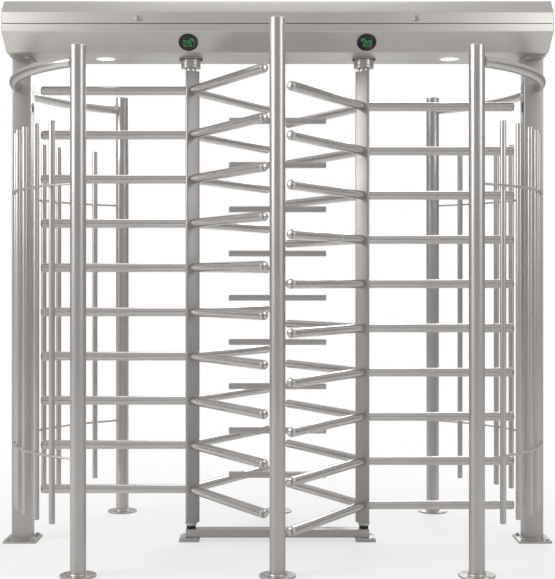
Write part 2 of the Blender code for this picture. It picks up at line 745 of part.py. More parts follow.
def build_comb():
    """The rear centre post with the fixed T-bars that the arms pass between."""
    comb = post("centre_comb_post", 0, POST_Y, CENTRE_POST_TOP)
    half = COMB_THICKNESS / 2
    for number in range(COMB_BARS):
        z = COMB_TOP - TIER_PITCH * number
        outline = [(-COMB_HALF_LENGTH, -half), (COMB_HALF_LENGTH, -half)]
        outline += [(COMB_HALF_LENGTH, half), (half, half), (half, POST_Y - POST_RADIUS + 0.0015)]
        outline += [(-half, POST_Y - POST_RADIUS + 0.0015), (-half, half), (-COMB_HALF_LENGTH, half)]
        tee = prism(f"tee_{number}", outline, COMB_THICKNESS)
        tee.location.z = z
        join(comb, tee)
    keep(baked(comb), STEEL)


def floor_beam():
    """The low beam that ties both rotor pivots together on the floor."""
    low = (-BEAM_HALF_LENGTH, -BEAM_HALF_DEPTH, BEAM_BOTTOM)
    high = (BEAM_HALF_LENGTH, BEAM_HALF_DEPTH, BEAM_TOP)
    beam = box("floor_beam", low, high)
    for side, sign in ROTOR_SIDES:
        x = sign * BEAM_FOOT_X
        low = (x - BEAM_FOOT_HALF_X, -BEAM_FOOT_HALF_Y, 0)
        high = (x + BEAM_FOOT_HALF_X, BEAM_FOOT_HALF_Y, BEAM_BOTTOM + 0.001)
        top = BEAM_TOP + PIVOT_LENGTH
        pin = cylinder(
            f"{side}_pivot", PIVOT_RADIUS, BEAM_TOP - 0.01, top, 16, (sign * ROTOR_X, 0)
        )
        join(beam, box(f"{side}_beam_foot", low, high), pin)
    keep(baked(beam), STEEL, smooth=False)


# ---- side columns, rails and cages ------------------------------------------------------------


def rail_path(sign):
    """The centre line of a top rail, from post to post."""
    end = math.degrees(POST_ANGLE)
    points = []
    for number in range(RAIL_STEPS + 1):
        degrees = end * (2 * number / RAIL_STEPS - 1)
        points.append(on_circle(RAIL_CIRCLE, degrees, sign, 1, RAIL_Z))
    return points


def corner_cutter(name, sign, front):
    """The space of a corner post with its clearance."""
    place = (sign * CORNER_POST_X, front * POST_Y)
    return cylinder(name, POST_RADIUS + GAP, 0.05, CORNER_POST_TOP + 0.1, POST_SIDES, place)


def build_rails():
    """One bent tube a side, from the front corner post through the side column to the rear."""
    for side, sign in ROTOR_SIDES:
        rail = tube(f"{side}_top_rail", rail_path(sign), RAIL_RADIUS, 2)
        cut(rail, corner_cutter(f"{side}_front_cope", sign, -1))
        cut(rail, corner_cutter(f"{side}_rear_cope", sign, 1))
        keep(baked(rail), BRIGHT)


def side_column(side, sign):
    """Rectangular tube with a base plate and a top plate, bored for the top rail."""
    half_w = SIDE_COLUMN_WIDTH / 2
    half_d = SIDE_COLUMN_DEPTH / 2
    x = sign * SIDE_COLUMN_X
    top = UNDERSIDE_Z - GAP
    column = box(f"{side}_side_column", (x - half_w, -half_d, 0.002), (x + half_w, half_d, top))
    plate_x = sorted((sign * BASE_PLATE_X[0], sign * BASE_PLATE_X[1]))
    base = box(
        f"{side}_base_plate",
        (plate_x[0], -BASE_PLATE_Y, 0),
        (plate_x[1], BASE_PLATE_Y, BASE_PLATE_THICKNESS),
    )
    head = box(
        f"{side}_head_plate",
        (x - half_w, -TOP_PLATE_Y, top - TOP_PLATE_THICKNESS),
        (x + half_w, TOP_PLATE_Y, top),
    )
    wall = SIDE_COLUMN_WALL
    bore = box(
        f"{side}_column_bore",
        (x - half_w + wall, -half_d + wall, BASE_PLATE_THICKNESS),
        (x + half_w - wall, half_d - wall, top + 0.01),
    )
    rail_hole = tube(f"{side}_rail_hole", rail_path(sign), RAIL_RADIUS + GAP, 2)
    join(column, base, head)
    cut(column, bore, rail_hole)
    return keep(baked(column), STEEL, smooth=False)


def cage_panel(end, side, front, sign):
    """A quarter of the cage: upright bars welded to two bent tie rods."""
    name = f"{end}_{side}_cage"
    post_deg = math.degrees(POST_ANGLE)
    face = SIDE_COLUMN_DEPTH / 2 + GAP
    face_deg = math.degrees(math.asin(face / ROD_CIRCLE))
    rods = []
    for number, z in enumerate(TIE_ROD_HEIGHTS):
        points = [
            on_circle(ROD_CIRCLE, face_deg + (post_deg - face_deg) * step / 12, sign, front, z)
            for step in range(13)
        ]
        rods.append(tube(f"{name}_rod_{number}", points, TIE_ROD_RADIUS, 1))
    panel = rods[0]
    panel.name = name
    join(panel, rods[1])
    for number in range(BARS_PER_PANEL):
        degrees = FIRST_BAR_DEG + BAR_STEP_DEG * number
        x, y, _ = on_circle(BAR_CIRCLE, degrees, sign, front)
        join(panel, cylinder(f"{name}_bar_{number}", BAR_RADIUS, BAR_BOTTOM, BAR_TOP, 10, (x, y)))
    cut(panel, corner_cutter(f"{name}_cope", sign, front))
    low = (sign * SIDE_COLUMN_X - 0.08, -face, 0.1)
    high = (sign * SIDE_COLUMN_X + 0.08, face, BAR_TOP)
    cut(panel, box(f"{name}_column_space", low, high))
    keep(baked(panel), STEEL)


def build_sides():
    for side, sign in ROTOR_SIDES:
        side_column(side, sign)
    build_rails()
    for end, front in (("front", -1), ("rear", 1)):
        for side, sign in ROTOR_SIDES:
            cage_panel(end, side, front, sign)


# ---- the whole turnstile ----------------------------------------------------------------------

build_rotors()
build_bearings()
build_rotor_locks()
build_controller()
canopy_tray()
canopy_cover()
build_cover_locks()
build_canopy_lamps()
build_posts()
build_comb()
floor_beam()
build_sides()
bpy.context.view_layer.update()
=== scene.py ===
# %% [markdown]
# A double full-height turnstile: two rotors of level arms turn inside barred cages under one
# steel canopy.

# %% load the engineering model
import math

import bpy
import numpy as np
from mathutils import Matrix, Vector


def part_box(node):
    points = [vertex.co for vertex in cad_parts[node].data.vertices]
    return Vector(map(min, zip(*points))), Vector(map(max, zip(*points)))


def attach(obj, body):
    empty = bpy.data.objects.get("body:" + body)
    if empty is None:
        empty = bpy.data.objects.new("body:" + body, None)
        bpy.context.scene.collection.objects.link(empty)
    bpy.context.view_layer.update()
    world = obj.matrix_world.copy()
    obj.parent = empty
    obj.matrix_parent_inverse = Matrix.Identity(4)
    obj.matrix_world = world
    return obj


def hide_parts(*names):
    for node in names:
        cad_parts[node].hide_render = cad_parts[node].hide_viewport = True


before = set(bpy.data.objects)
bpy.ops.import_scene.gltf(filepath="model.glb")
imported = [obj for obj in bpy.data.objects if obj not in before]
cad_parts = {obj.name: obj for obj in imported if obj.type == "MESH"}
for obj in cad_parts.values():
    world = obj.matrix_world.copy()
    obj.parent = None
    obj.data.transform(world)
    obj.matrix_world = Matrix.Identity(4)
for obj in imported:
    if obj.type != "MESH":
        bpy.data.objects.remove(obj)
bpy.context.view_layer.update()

# %% [markdown]
# The driving sizes come from the engineering nodes themselves, so the fine pieces land exactly
# where the plain ones were. They could be typed in again, but a change of the engineering model
# would then leave the looks behind. Only what a box can't give, such as the size of a tube, is
# written here, once.

# %% sizes
SIDES = (("left", -1.0), ("right", 1.0))
ENDS = (("front", -1), ("rear", 1))


def span(node):
    """Low and high corner of a node as arrays."""
    low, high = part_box(node)
    return np.array(low), np.array(high)


def middle(node):
    """Middle of a node's box, (low + high) / 2, as plain numbers."""
    low, high = span(node)
    return [float(v) for v in (low + high) / 2]


ROTOR_X = middle("right_upper_bearing")[0]
COLUMN_TOP = float(span("right_rotor_column")[1][2])
UNDERSIDE = float(span("canopy_tray")[0][2])
HALF_LENGTH = float(span("canopy_cover")[1][0])
SIDE_OUT = float(span("right_side_column")[1][0])
RAIL_Z = middle("right_top_rail")[2]
POST_X, POST_Y = middle("front_right_post")[0], -middle("front_right_post")[1]
CAGE_X = ROTOR_X - 0.005
RAIL_CIRCLE = math.hypot(POST_X - CAGE_X, POST_Y)
POST_DEG = math.degrees(math.atan2(POST_Y, POST_X - CAGE_X))
ARM_R, BAR_R, RAIL_R, POST_R = 0.019, 0.012, 0.0212, 0.030
print("rotor axes at", ROTOR_X, "posts at", POST_X, POST_Y)

# %% [markdown]
# Nearly every piece of this turnstile is drawn tube, turned bar or folded sheet. They could be
# primitives joined by Booleans, but those leave ragged edges and no control of the rounds. All
# three are a profile carried along something, which is a grid of points with two parameters.
# A shell is one such grid, with its faces; several shells make one piece.

# %% grids and meshes
SHARP_FROM = math.radians(32)


def grid_faces(rows, columns, loop):
    """Quads between neighbouring rows and columns; columns join up, and rows too if loop."""
    row = np.arange(rows if loop else rows - 1)[:, None]
    column = np.arange(columns)[None, :]
    first, last, after = row * columns, (row + 1) % rows * columns, (column + 1) % columns
    return np.stack([first + column, first + after, last + after, last + column], -1).reshape(-1, 4)


def shell(points, loop=False):
    """A (rows, columns, 3) grid as a closed shell; flat caps close the end rows unless they loop."""
    rows, columns, _ = points.shape
    faces = [tuple(f) for f in grid_faces(rows, columns, loop).tolist()]
    if not loop:
        faces.append(tuple(range(columns))[::-1])
        faces.append(tuple(range((rows - 1) * columns, rows * columns)))
    return points.reshape(-1, 3), faces


def volume(points, faces):
    """Six times the signed volume: the sum of a . (b x c) over a fan of triangles on each face."""
    total = 0.0
    quads = np.array([f for f in faces if len(f) == 4], int)
    if len(quads):
        a, b, c, d = (points[quads[:, i]] for i in range(4))
        total += np.einsum("ij,ij->i", a, np.cross(b, c) + np.cross(c, d)).sum()
    for face in (f for f in faces if len(f) != 4):
        ring = points[list(face)]
        total += np.einsum("ij,ij->i", np.cross(ring[1:-1], ring[2:]), ring[:1]).sum()
    return total


def piece(name, shells, finish, body, *nodes):
    """One object from shells: turned outward, given a finish, a body and the nodes it stands for."""
    points, faces, start = [], [], 0
    for part_points, part_faces in shells:
        if volume(part_points - part_points.mean(0), part_faces) < 0:
            part_faces = [f[::-1] for f in part_faces]
        points.append(part_points)
        faces += [tuple(i + start for i in f) for f in part_faces]
        start += len(part_points)
    mesh = bpy.data.meshes.new(name)
    mesh.from_pydata(np.concatenate(points).tolist(), [], faces)
    mesh.validate()
    mesh.shade_smooth()
    mesh.set_sharp_from_angle(angle=SHARP_FROM)
    mesh.materials.append(finish)
    made = bpy.data.objects.new(name, mesh)
    bpy.context.scene.collection.objects.link(made)
    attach(made, body)
    if nodes:
        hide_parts(*nodes)


def turn(profile, centre=(0, 0, 0), steps=40, axis="Z"):
    """A (radius r, height h) profile swept once round an axis: across = r cos a, along = r sin a.

    A profile row that repeats the one before is dropped, and an end at radius 0 becomes one pole.
    """
    profile = np.array(profile, float)
    profile = profile[np.append(True, np.abs(np.diff(profile, axis=0)).max(1) > 1e-7)]
    angle = np.linspace(0, 2 * math.pi, steps, endpoint=False)
    r, h = profile[:, :1], profile[:, 1:]
    across, along = r * np.cos(angle), r * np.sin(angle)
    height = np.broadcast_to(h, across.shape)
    order = {"Z": (across, along, height), "X": (height, across, along), "Y": (across, height, along)}
    points, faces = shell(np.stack(order[axis], -1) + np.array(centre))
    where = np.arange(len(points))
    if profile[0, 0] == 0:
        where[:steps] = 0
    if profile[-1, 0] == 0:
        where[-steps:] = len(points) - steps
    kept, where = np.unique(where, return_inverse=True)
    faces = [tuple(dict.fromkeys(where[list(face)].tolist())) for face in faces]
    return points[kept], [face for face in faces if len(face) > 2]


def hoop(profile, centre=(0, 0, 0), steps=48, axis="Z"):
    """A closed (radius, height) profile swept round an axis, with an open bore."""
    points, _ = turn(profile, centre, steps, axis)
    return shell(points.reshape(-1, steps, 3), loop=True)


def round_off(profile, radius=0.001, steps=4):
    """Rounds each inner corner of an open (a, b) profile with a quadratic curve of that reach.

    The curve is (1 - t)^2 first + 2 t (1 - t) corner + t^2 last.
    """
    profile = [np.array(p, float) for p in profile]
    made = [profile[0][None]]
    t = np.linspace(0, 1, steps + 1)[:, None]
    for before, corner, after in zip(profile, profile[1:], profile[2:]):
        back, ahead = before - corner, after - corner
        reach_back = min(radius, 0.45 * np.linalg.norm(back))
        reach_ahead = min(radius, 0.45 * np.linalg.norm(ahead))
        first = corner + back / max(np.linalg.norm(back), 1e-9) * reach_back
        last = corner + ahead / max(np.linalg.norm(ahead), 1e-9) * reach_ahead
        made.append((1 - t) ** 2 * first + 2 * t * (1 - t) * corner + t**2 * last)
    made.append(profile[-1][None])
    return np.concatenate(made)


def tube(path, radii, steps=24):
    """Rings across a path: point + radius (side cos a + top sin a), square to the path's way."""
    path = np.array(path, float)
    radii = np.broadcast_to(np.array(radii, float), len(path))
    way = np.gradient(path, axis=0)
    way /= np.linalg.norm(way, axis=1)[:, None]
    up = np.where(np.abs(way[:, 2:]) > 0.9, np.array([[1.0, 0, 0]]), np.array([[0, 0, 1.0]]))
    side = np.cross(way, up)
    side /= np.linalg.norm(side, axis=1)[:, None]
    top = np.cross(side, way)
    angle = np.linspace(0, 2 * math.pi, steps, endpoint=False)[None, :, None]
    ring = side[:, None] * np.cos(angle) + top[:, None] * np.sin(angle)
    return shell(path[:, None] + ring * radii[:, None, None])


def rounded_box(low, high, edge=0.002, steps=3):
    """A block with rounded edges: rings of a rounded rectangle, drawn in at both ends.

    At angle t of the end's quarter circle the ring is drawn in by edge (1 - sin t), and each
    corner arc shrinks by 0.85 of that share, so thin plates keep their corners apart.
    """
    low, high = np.array(low, float), np.array(high, float)
    centre, half = (low + high) / 2, (high - low) / 2
    edge = min(edge, *(half * 0.9))
    t = np.linspace(0, math.pi / 2, steps + 1)
    inset = edge * (1 - np.sin(t))
    rise = edge * (1 - np.cos(t)) - half[2]
    inset, height = np.append(inset, inset[::-1]), np.append(rise, -rise[::-1])
    arc = np.stack([np.cos(t), np.sin(t)], -1) * edge
    arcs = np.stack([arc, arc[::-1], arc, arc[::-1]])
    quarters = np.array([[1, 1], [-1, 1], [-1, -1], [1, -1]])[:, None]
    shrink = (1 - 0.85 * inset / edge)[:, None, None, None]
    rings = (quarters * (half[:2] - edge + arcs * shrink)).reshape(len(inset), -1, 2)
    level = np.broadcast_to(height[:, None, None], (*rings.shape[:2], 1))
    return shell(np.concatenate([rings, level], -1) + centre)


def carried(outline, low, high, edge=0.0008, axis="Z"):
    """A closed outline carried along an axis; both rims are drawn in along the outline's normal."""
    outline = np.array(outline, float)
    after = np.roll(outline, -1, 0)
    way = after - np.roll(outline, 1, 0)
    normal = np.stack([way[:, 1], -way[:, 0]], -1)
    normal /= np.linalg.norm(normal, axis=1)[:, None]
    area = (outline[:, 0] * after[:, 1] - after[:, 0] * outline[:, 1]).sum()
    inset = math.copysign(edge, area) * np.array([1, 0.3, 0, 0, 0.3, 1])[:, None, None]
    rise = edge * np.array([0, 0.3, 1])
    height = np.append(low + rise, high - rise[::-1])
    rings = outline - normal * inset
    level = np.broadcast_to(height[:, None, None], (*rings.shape[:2], 1))
    return shell(np.concatenate([rings, level] if axis == "Z" else [level, rings], -1))


def spun(part, degrees):
    """The shell turned about the upright axis: x cos a - y sin a, x sin a + y cos a."""
    points, faces = part
    a = math.radians(degrees)
    x, y, z = points.T
    return np.stack([x * math.cos(a) - y * math.sin(a), x * math.sin(a) + y * math.cos(a), z], -1), faces


def hex_bolt(x, y, z, across=0.015, height=0.010, washer=0.0115):
    """A hexagon head, `across` its flats, on a washer that stands on z."""
    ring = turn(round_off([(0, 0), (washer, 0), (washer, 0.0015), (0, 0.0015)], 0.0005, 2), steps=20)
    angle = np.arange(6) * math.pi / 3 + 0.3
    hexagon = np.stack([np.cos(angle), np.sin(angle)], -1) * across / 2 / math.cos(math.pi / 6)
    head = carried(hexagon, 0.0015, height, 0.0008)
    return [(p + [x, y, z], f) for p, f in (ring, head)]


print("shape helpers are ready")

# %% [markdown]
# Brushed stainless is metal with very fine parallel scratches. A picture of brushed steel would
# stretch and repeat on long tube, so the scratches are worked out instead. Each one changes the
# roughness a little and tips the surface a little, so a noise pattern that is squeezed hard
# across the brushing direction feeds roughness and bump. Broad, faint noise adds the uneven
# handling that keeps real steel from looking like a mirror.

# %% shader helpers


class Value:
    """One output socket; + - * on it add Math nodes."""

    def __init__(self, tree, socket):
        self.tree, self.socket = tree, socket

    def math(self, operation, other):
        """A Math node of this value and another value or number."""
        return self.tree.add("ShaderNodeMath", {0: self, 1: other}, operation=operation)

    def __add__(self, other):
        return self.math("ADD", other)

    def __sub__(self, other):
        return self.math("SUBTRACT", other)

    def __mul__(self, other):
        return self.math("MULTIPLY", other)


class Nodes:
    """A node tree; add() makes any node from its type, inputs and settings."""

    def __init__(self, tree):
        self.nodes, self.links = tree.nodes, tree.links

    def plug(self, socket, value):
        """Links a value to a socket, or sets a constant on it."""
        if isinstance(value, Value):
            self.links.new(value.socket, socket)
        else:
            socket.default_value = value

    def add(self, kind, inputs=None, out=0, **settings):
        """A node of that kind, as the Value of one of its outputs."""
        node = self.nodes.new(kind)
        for key, value in settings.items():
            setattr(node, key, value)
        for key, value in (inputs or {}).items():
            self.plug(node.inputs[key], value)
        return Value(self, node.outputs[out])


class Finish(Nodes):
    """A material round one Principled shader."""

    def __init__(self, name, colour, rough, metal, coat=0.0):
        self.material = bpy.data.materials.new(name)
        self.material.use_nodes = True
        super().__init__(self.material.node_tree)
        self.shader = self.nodes["Principled BSDF"]
        self.shader.inputs["Base Color"].default_value = (*colour, 1)
        self.shader.inputs["Roughness"].default_value = rough
        self.shader.inputs["Metallic"].default_value = metal
        self.shader.inputs["Coat Weight"].default_value = coat
        self.material.diffuse_color = (*colour, 1)

    def set(self, name, value):
        """Plugs a value or a constant into the shader's named input."""
        self.plug(self.shader.inputs[name], value)

    def noise(self, stretch, scale, detail=2.0):
        """Noise on Object coordinates, squeezed by a factor for each axis."""
        where = self.add("ShaderNodeTexCoord", out="Object")
        where = self.add("ShaderNodeMapping", {"Vector": where, "Scale": stretch})
        return self.add("ShaderNodeTexNoise", {"Vector": where, "Scale": scale, "Detail": detail})

    def tint(self, factor, first, second):
        """The base colour runs from the first to the second with the factor."""
        ends = {0: factor, 6: (*first, 1), 7: (*second, 1)}
        self.set("Base Color", self.add("ShaderNodeMix", ends, out=2, data_type="RGBA"))

    def grain(self, height, depth):
        """A fine bump from a height pattern, at most 0.4 mm deep."""
        bump = {"Strength": depth, "Distance": 0.0004, "Height": height}
        self.set("Normal", self.add("ShaderNodeBump", bump))


def steel(name, colour, rough, grain, depth=0.05, spread=0.10, dark=0.86):
    """Brushed steel; grain is the squeeze of the scratches along x, y and z."""
    finish = Finish(name, colour, rough, 1.0)
    scratch = finish.noise(grain, 1.0, 3.0)
    cloud = finish.noise((1, 1, 1), 3.1)
    finish.set("Roughness", (scratch - 0.5) * spread + (cloud - 0.5) * spread + rough)
    deep = tuple(c * dark for c in colour)
    finish.tint(scratch * 0.6 + cloud * 0.4, deep, tuple(min(1, c * (2 - dark)) for c in colour))
    finish.grain(scratch, depth)
    return finish.material


UPRIGHT, LEVEL_X = (260, 260, 5), (5, 420, 420)
post_steel = steel("brushed_post_steel", (0.55, 0.53, 0.52), 0.37, UPRIGHT)
column_steel = steel("brushed_column_steel", (0.44, 0.42, 0.41), 0.44, UPRIGHT, 0.06)
box_steel = steel("brushed_box_steel", (0.51, 0.49, 0.475), 0.44, UPRIGHT, 0.07)
arm_steel = steel("polished_arm_steel", (0.62, 0.60, 0.585), 0.25, (14, 14, 14), 0.01, 0.04, 0.96)
rail_steel = steel("polished_rail_steel", (0.62, 0.60, 0.585), 0.26, (9, 9, 9), 0.01, 0.04, 0.96)
bar_steel = steel("brushed_bar_steel", (0.55, 0.53, 0.515), 0.38, UPRIGHT, 0.03)
sheet_steel = steel("brushed_canopy_sheet", (0.66, 0.64, 0.61), 0.43, LEVEL_X, 0.07, 0.10, 0.90)
turned_steel = steel("turned_steel", (0.58, 0.56, 0.54), 0.33, (30, 30, 700), 0.03)
weld_steel = steel("weld_bead_steel", (0.60, 0.58, 0.54), 0.42, (240, 240, 240), 0.25, 0.2)
zinc = steel("zinc_plated_steel", (0.52, 0.53, 0.54), 0.42, (90, 90, 90), 0.10, 0.15)
black_plastic = Finish("black_plastic", (0.012, 0.012, 0.013), 0.38, 0.0).material
gloss_black = Finish("glossy_black_lens", (0.004, 0.004, 0.005), 0.08, 0.0, 0.3).material
# A near-black finish for painted shade: dark strips and rings put where gaps and recesses only fall into
# shade.
painted_shade_dark = Finish("shadow_gap", (0.018, 0.017, 0.016), 0.7, 0.0).material
copper = steel("wound_copper", (0.55, 0.24, 0.11), 0.35, (900, 5, 5), 0.3)
powder_coat = Finish("grey_powder_coat", (0.16, 0.17, 0.18), 0.5, 0.0)
powder_coat.grain(powder_coat.noise((1, 1, 1), 900.0), 0.12)
grey_paint = powder_coat.material


def glowing(name, colour, strength):
    """A plain lit plastic, such as a lamp diffuser or an arrow segment; on a lamp rim, which is no lamp, the
    glow is painted light.
    """
    finish = Finish(name, colour, 0.4, 0.0)
    finish.set("Emission Color", (*colour, 1))
    finish.set("Emission Strength", strength)
    return finish.material


diffuser = glowing("opal_diffuser", (0.90, 0.90, 0.88), 0.9)
# The white lamp rim glows faintly: painted light, as only the opal disc is the lamp.
rim_painted_glow = glowing("white_lamp_rim_painted_glow", (0.80, 0.81, 0.80), 0.25)
arrow_pale = glowing("arrow_outline_green", (0.10, 0.50, 0.17), 0.5)
arrow_green = glowing("arrow_green", (0.003, 0.055, 0.015), 0.4)
print(len(bpy.data.materials), "finishes")

# %% [markdown]
# A rotor is a three-sided tube with an arm let into each flat at ten levels. A capped cylinder
# would do for an arm from far off, but the eye stops at its end. So each arm is one turned
# profile: round polished tube with a domed plug pressed into its end, and the fine ring line
# where plug and tube meet is a small groove. One tier of three arms is one piece.

# %% rotor arms
REACH = float(abs(span("left_arm_tier_01")[0][0] + ROTOR_X))
ARM_START, DOME_R, DOME_RISE = 0.012, 0.0176, 0.006


def arm_profile():
    """(radius, distance) down one arm: quarter-ellipse dome, plug line, long barrel."""
    t = np.linspace(0, 1, 9) * math.pi / 2
    dome = np.stack([DOME_R * np.sin(t), REACH - DOME_RISE * (1 - np.cos(t))], -1)
    line = [(0.0180, REACH - 0.0064), (0.0172, REACH - 0.0072), (0.0180, REACH - 0.0080)]
    barrel = [(ARM_R, REACH - 0.0090), (ARM_R, REACH - 0.2), (ARM_R, ARM_START + 0.2)]
    return np.concatenate([dome, line, barrel, [(ARM_R, ARM_START), (0, ARM_START)]])


def arm_shell(degrees, x, z):
    """The arm profile swept round a level line that leaves the axis at an angle."""
    points, faces = spun(turn(arm_profile(), steps=32, axis="X"), degrees)
    return points + [x, 0, z], faces


def tier(side, sign, number):
    """Three arms, 120 degrees apart, at the height of the tier's node."""
    node = f"{side}_arm_tier_{number:02d}"
    first = 180 if sign < 0 else 0
    arms = [arm_shell(first + 120 * k, sign * ROTOR_X, middle(node)[2]) for k in range(3)]
    piece(f"{side}_arms_{number:02d}", arms, arm_steel, f"{side}_rotor", node)


for side, sign in SIDES:
    for number in range(1, 11):
        tier(side, sign, number)
print("20 tiers of 3 arms, reach", round(REACH, 4))

# %% [markdown]
# The column is folded tube, so its three corners are rounded rather than sharp. A triangular
# prism with a bevel would round its ends as well, so the outline is drawn as three arcs joined
# by flats and carried straight up. A thin cap with a machined neck closes the top, and a turned
# collar the bottom; both are turned profiles.

# %% rotor columns, necks and feet
COLUMN_FLAT, COLUMN_CORNER, NECK_R, SPIGOT_R = 0.022, 0.036, 0.0228, 0.0148


def rotor_outline(first_deg, steps=7):
    """Flats COLUMN_FLAT from the axis and corner arcs that reach COLUMN_CORNER, in the XY plane.

    An arc of radius r round a point m from the axis touches both flats when r = 2 flat - corner
    and m = corner - r.
    """
    radius = 2 * COLUMN_FLAT - COLUMN_CORNER
    along = math.radians(first_deg) + np.arange(3)[:, None] * math.radians(120)
    a = along + np.linspace(-1, 1, steps) * math.radians(60)
    centre = np.stack([np.cos(along), np.sin(along)], -1) * (COLUMN_CORNER - radius)
    return (centre + np.stack([np.cos(a), np.sin(a)], -1) * radius).reshape(-1, 2)


for side, sign in SIDES:
    x = sign * ROTOR_X
    outline = rotor_outline(0 if sign < 0 else 180) + np.array([x, 0])
    low, high = span(f"{side}_rotor_column")
    column = carried(outline, float(low[2]), float(high[2]), 0.0006)
    piece(f"{side}_column", [column], column_steel, f"{side}_rotor", f"{side}_rotor_column")
    top, spigot_top, throat = COLUMN_TOP, float(span(f"{side}_rotor_shaft")[1][2]), UNDERSIDE + 0.0247
    cap = carried(outline, top + 0.0003, top + 0.0033, 0.0008)
    neck = [(0, top + 0.001), (NECK_R, top + 0.001), (NECK_R, top + 0.012), (0.0215, top + 0.0135)]
    neck += [(NECK_R, top + 0.015), (NECK_R, throat), (SPIGOT_R, throat)]
    neck += [(SPIGOT_R, spigot_top), (0, spigot_top)]
    fine = [cap, turn(round_off(neck, 0.0012), (x, 0, 0))]
    piece(f"{side}_neck", fine, turned_steel, f"{side}_rotor", f"{side}_rotor_shaft")
    z = float(span(f"{side}_rotor_foot")[0][2])
    foot = [(0, z + 0.0125), (0.026, z + 0.0125), (0.026, z + 0.006), (0.0235, z + 0.0045), (0.0235, z)]
    foot += [(0.0125, z), (0.0125, z + 0.0118), (0, z + 0.0118)]
    collar = turn(round_off(foot, 0.001), (x, 0, 0))
    piece(f"{side}_foot_collar", [collar], turned_steel, f"{side}_rotor", f"{side}_rotor_foot")
print("two columns with cap, neck and foot")

# %% [markdown]
# The upper bearing sits in a turned housing that is bolted up against the canopy floor. Its
# flange, lower lip and oil groove could be separate rings, but it is one casting, so they are
# one closed profile swept round. The black thrust ring below carries the rotor on the floor pin.

# %% bearings
BORE_R, HOUSING_R = 0.0233, 0.043
for side, sign in SIDES:
    low, high = span(f"{side}_upper_bearing")
    x, bottom, top = sign * ROTOR_X, float(low[2]), float(high[2])
    flange, groove = float(high[0] - low[0]) / 2, HOUSING_R - 0.0012
    line = [(BORE_R, top), (flange, top), (flange, top - 0.006), (HOUSING_R, top - 0.006)]
    line += [(HOUSING_R, bottom + 0.012), (groove, bottom + 0.011), (groove, bottom + 0.009)]
    line += [(HOUSING_R, bottom + 0.008), (HOUSING_R, bottom), (HOUSING_R - 0.008, bottom)]
    line += [(HOUSING_R - 0.009, bottom + 0.002), (BORE_R, bottom + 0.002)]
    housing = hoop(round_off(line, 0.001), (x, 0, 0))
    piece(f"{side}_bearing_housing", [housing], turned_steel, "frame", f"{side}_upper_bearing")
    # A thin dark ring under the flange is painted shade, the shade that falls beneath the flange.
    line = [(0.0438, top - 0.0060), (0.0506, top - 0.0060), (0.0506, top - 0.0076), (0.0438, top - 0.0076)]
    piece(f"{side}_housing_painted_shade_ring", [hoop(line, (x, 0, 0))], painted_shade_dark, "frame")
    low, high = span(f"{side}_foot_bearing")
    bottom, top = float(low[2]), float(high[2])
    line = [(0.0123, top), (0.0190, top), (0.020, top - 0.002), (0.020, top - 0.0055)]
    line += [(0.0185, top - 0.0065), (0.020, top - 0.0075), (0.020, bottom), (0.0123, bottom)]
    ring = hoop(round_off(line, 0.0005, 2), (x, 0, 0), 40)
    piece(f"{side}_thrust_ring", [ring], black_plastic, "frame", f"{side}_foot_bearing")
print("bearings done")

# %% [markdown]
# Each post is round tube welded to a disc that four anchors hold to the floor. Tube, weld and
# disc could be three objects, but a weld is a small concave fillet without a seam, so it is a
# curve in the same turned profile. Low domed anchor heads sit on the disc.

# %% posts and anchors
DISC_R, DISC_TOP, ANCHOR_CIRCLE = 0.069, 0.008, 0.054


def post_shell(x, y, top):
    """One turned profile: blunt cap, straight tube, concave weld fillet, bolt-down disc."""
    up = [(0, top), (POST_R - 0.0035, top), (POST_R, top - 0.0030), (POST_R, top - 0.02)]
    barrel = [(POST_R, 0.2), (POST_R, 0.0135)]
    weld = np.array([(0.0006, 0.0140), (0.0030, 0.0122), (0.0046, 0.0096), (0.005, DISC_TOP)]) + [POST_R, 0]
    disc = [(POST_R + 0.005, DISC_TOP), (DISC_R, DISC_TOP), (DISC_R, 0), (0, 0)]
    profile = np.concatenate([round_off(up, 0.0015), barrel, weld, round_off(disc, 0.0015)])
    return turn(profile, (x, y, 0), 48)


def circle_round(x, y, radius, degrees, z):
    """Points x + r cos a, y + r sin a at one height."""
    a = np.radians(degrees)
    return np.stack(np.broadcast_arrays(x + radius * np.cos(a), y + radius * np.sin(a), z), -1)


def anchors(x, y):
    """Four floor anchors on a circle: a low domed head in a thin washer."""
    head = [(0, 0.0030), (0.0050, 0.0024), (0.0064, 0.0010), (0.0080, 0.0008), (0.0080, 0), (0, 0)]
    head = round_off(head, 0.0005, 2)
    spots = circle_round(x, y, ANCHOR_CIRCLE, 45 + 90 * np.arange(4), DISC_TOP)
    return [turn(head, spot, 20) for spot in spots]


post_places = []
for end, front in ENDS:
    post_places += [(f"{end}_{side}_post", sign * POST_X, front * POST_Y) for side, sign in SIDES]
post_places.append(("front_centre_post", 0.0, -POST_Y))
for node, x, y in post_places:
    post = post_shell(x, y, float(span(node)[1][2]))
    piece(f"{node}_tube", [post], post_steel, "frame", node)
    piece(f"{node}_anchors", anchors(x, y), zinc, "frame")
print(len(post_places), "posts with four anchors each")

# %% [markdown]
# Between the two rotors stands a post with fixed level bars, the comb: an arm can pass between
# its bars, a person can't. A bar and its stem could be one T-shaped outline, but real ones are
# square tubes welded together, so both are rounded boxes with a weld line where they meet.

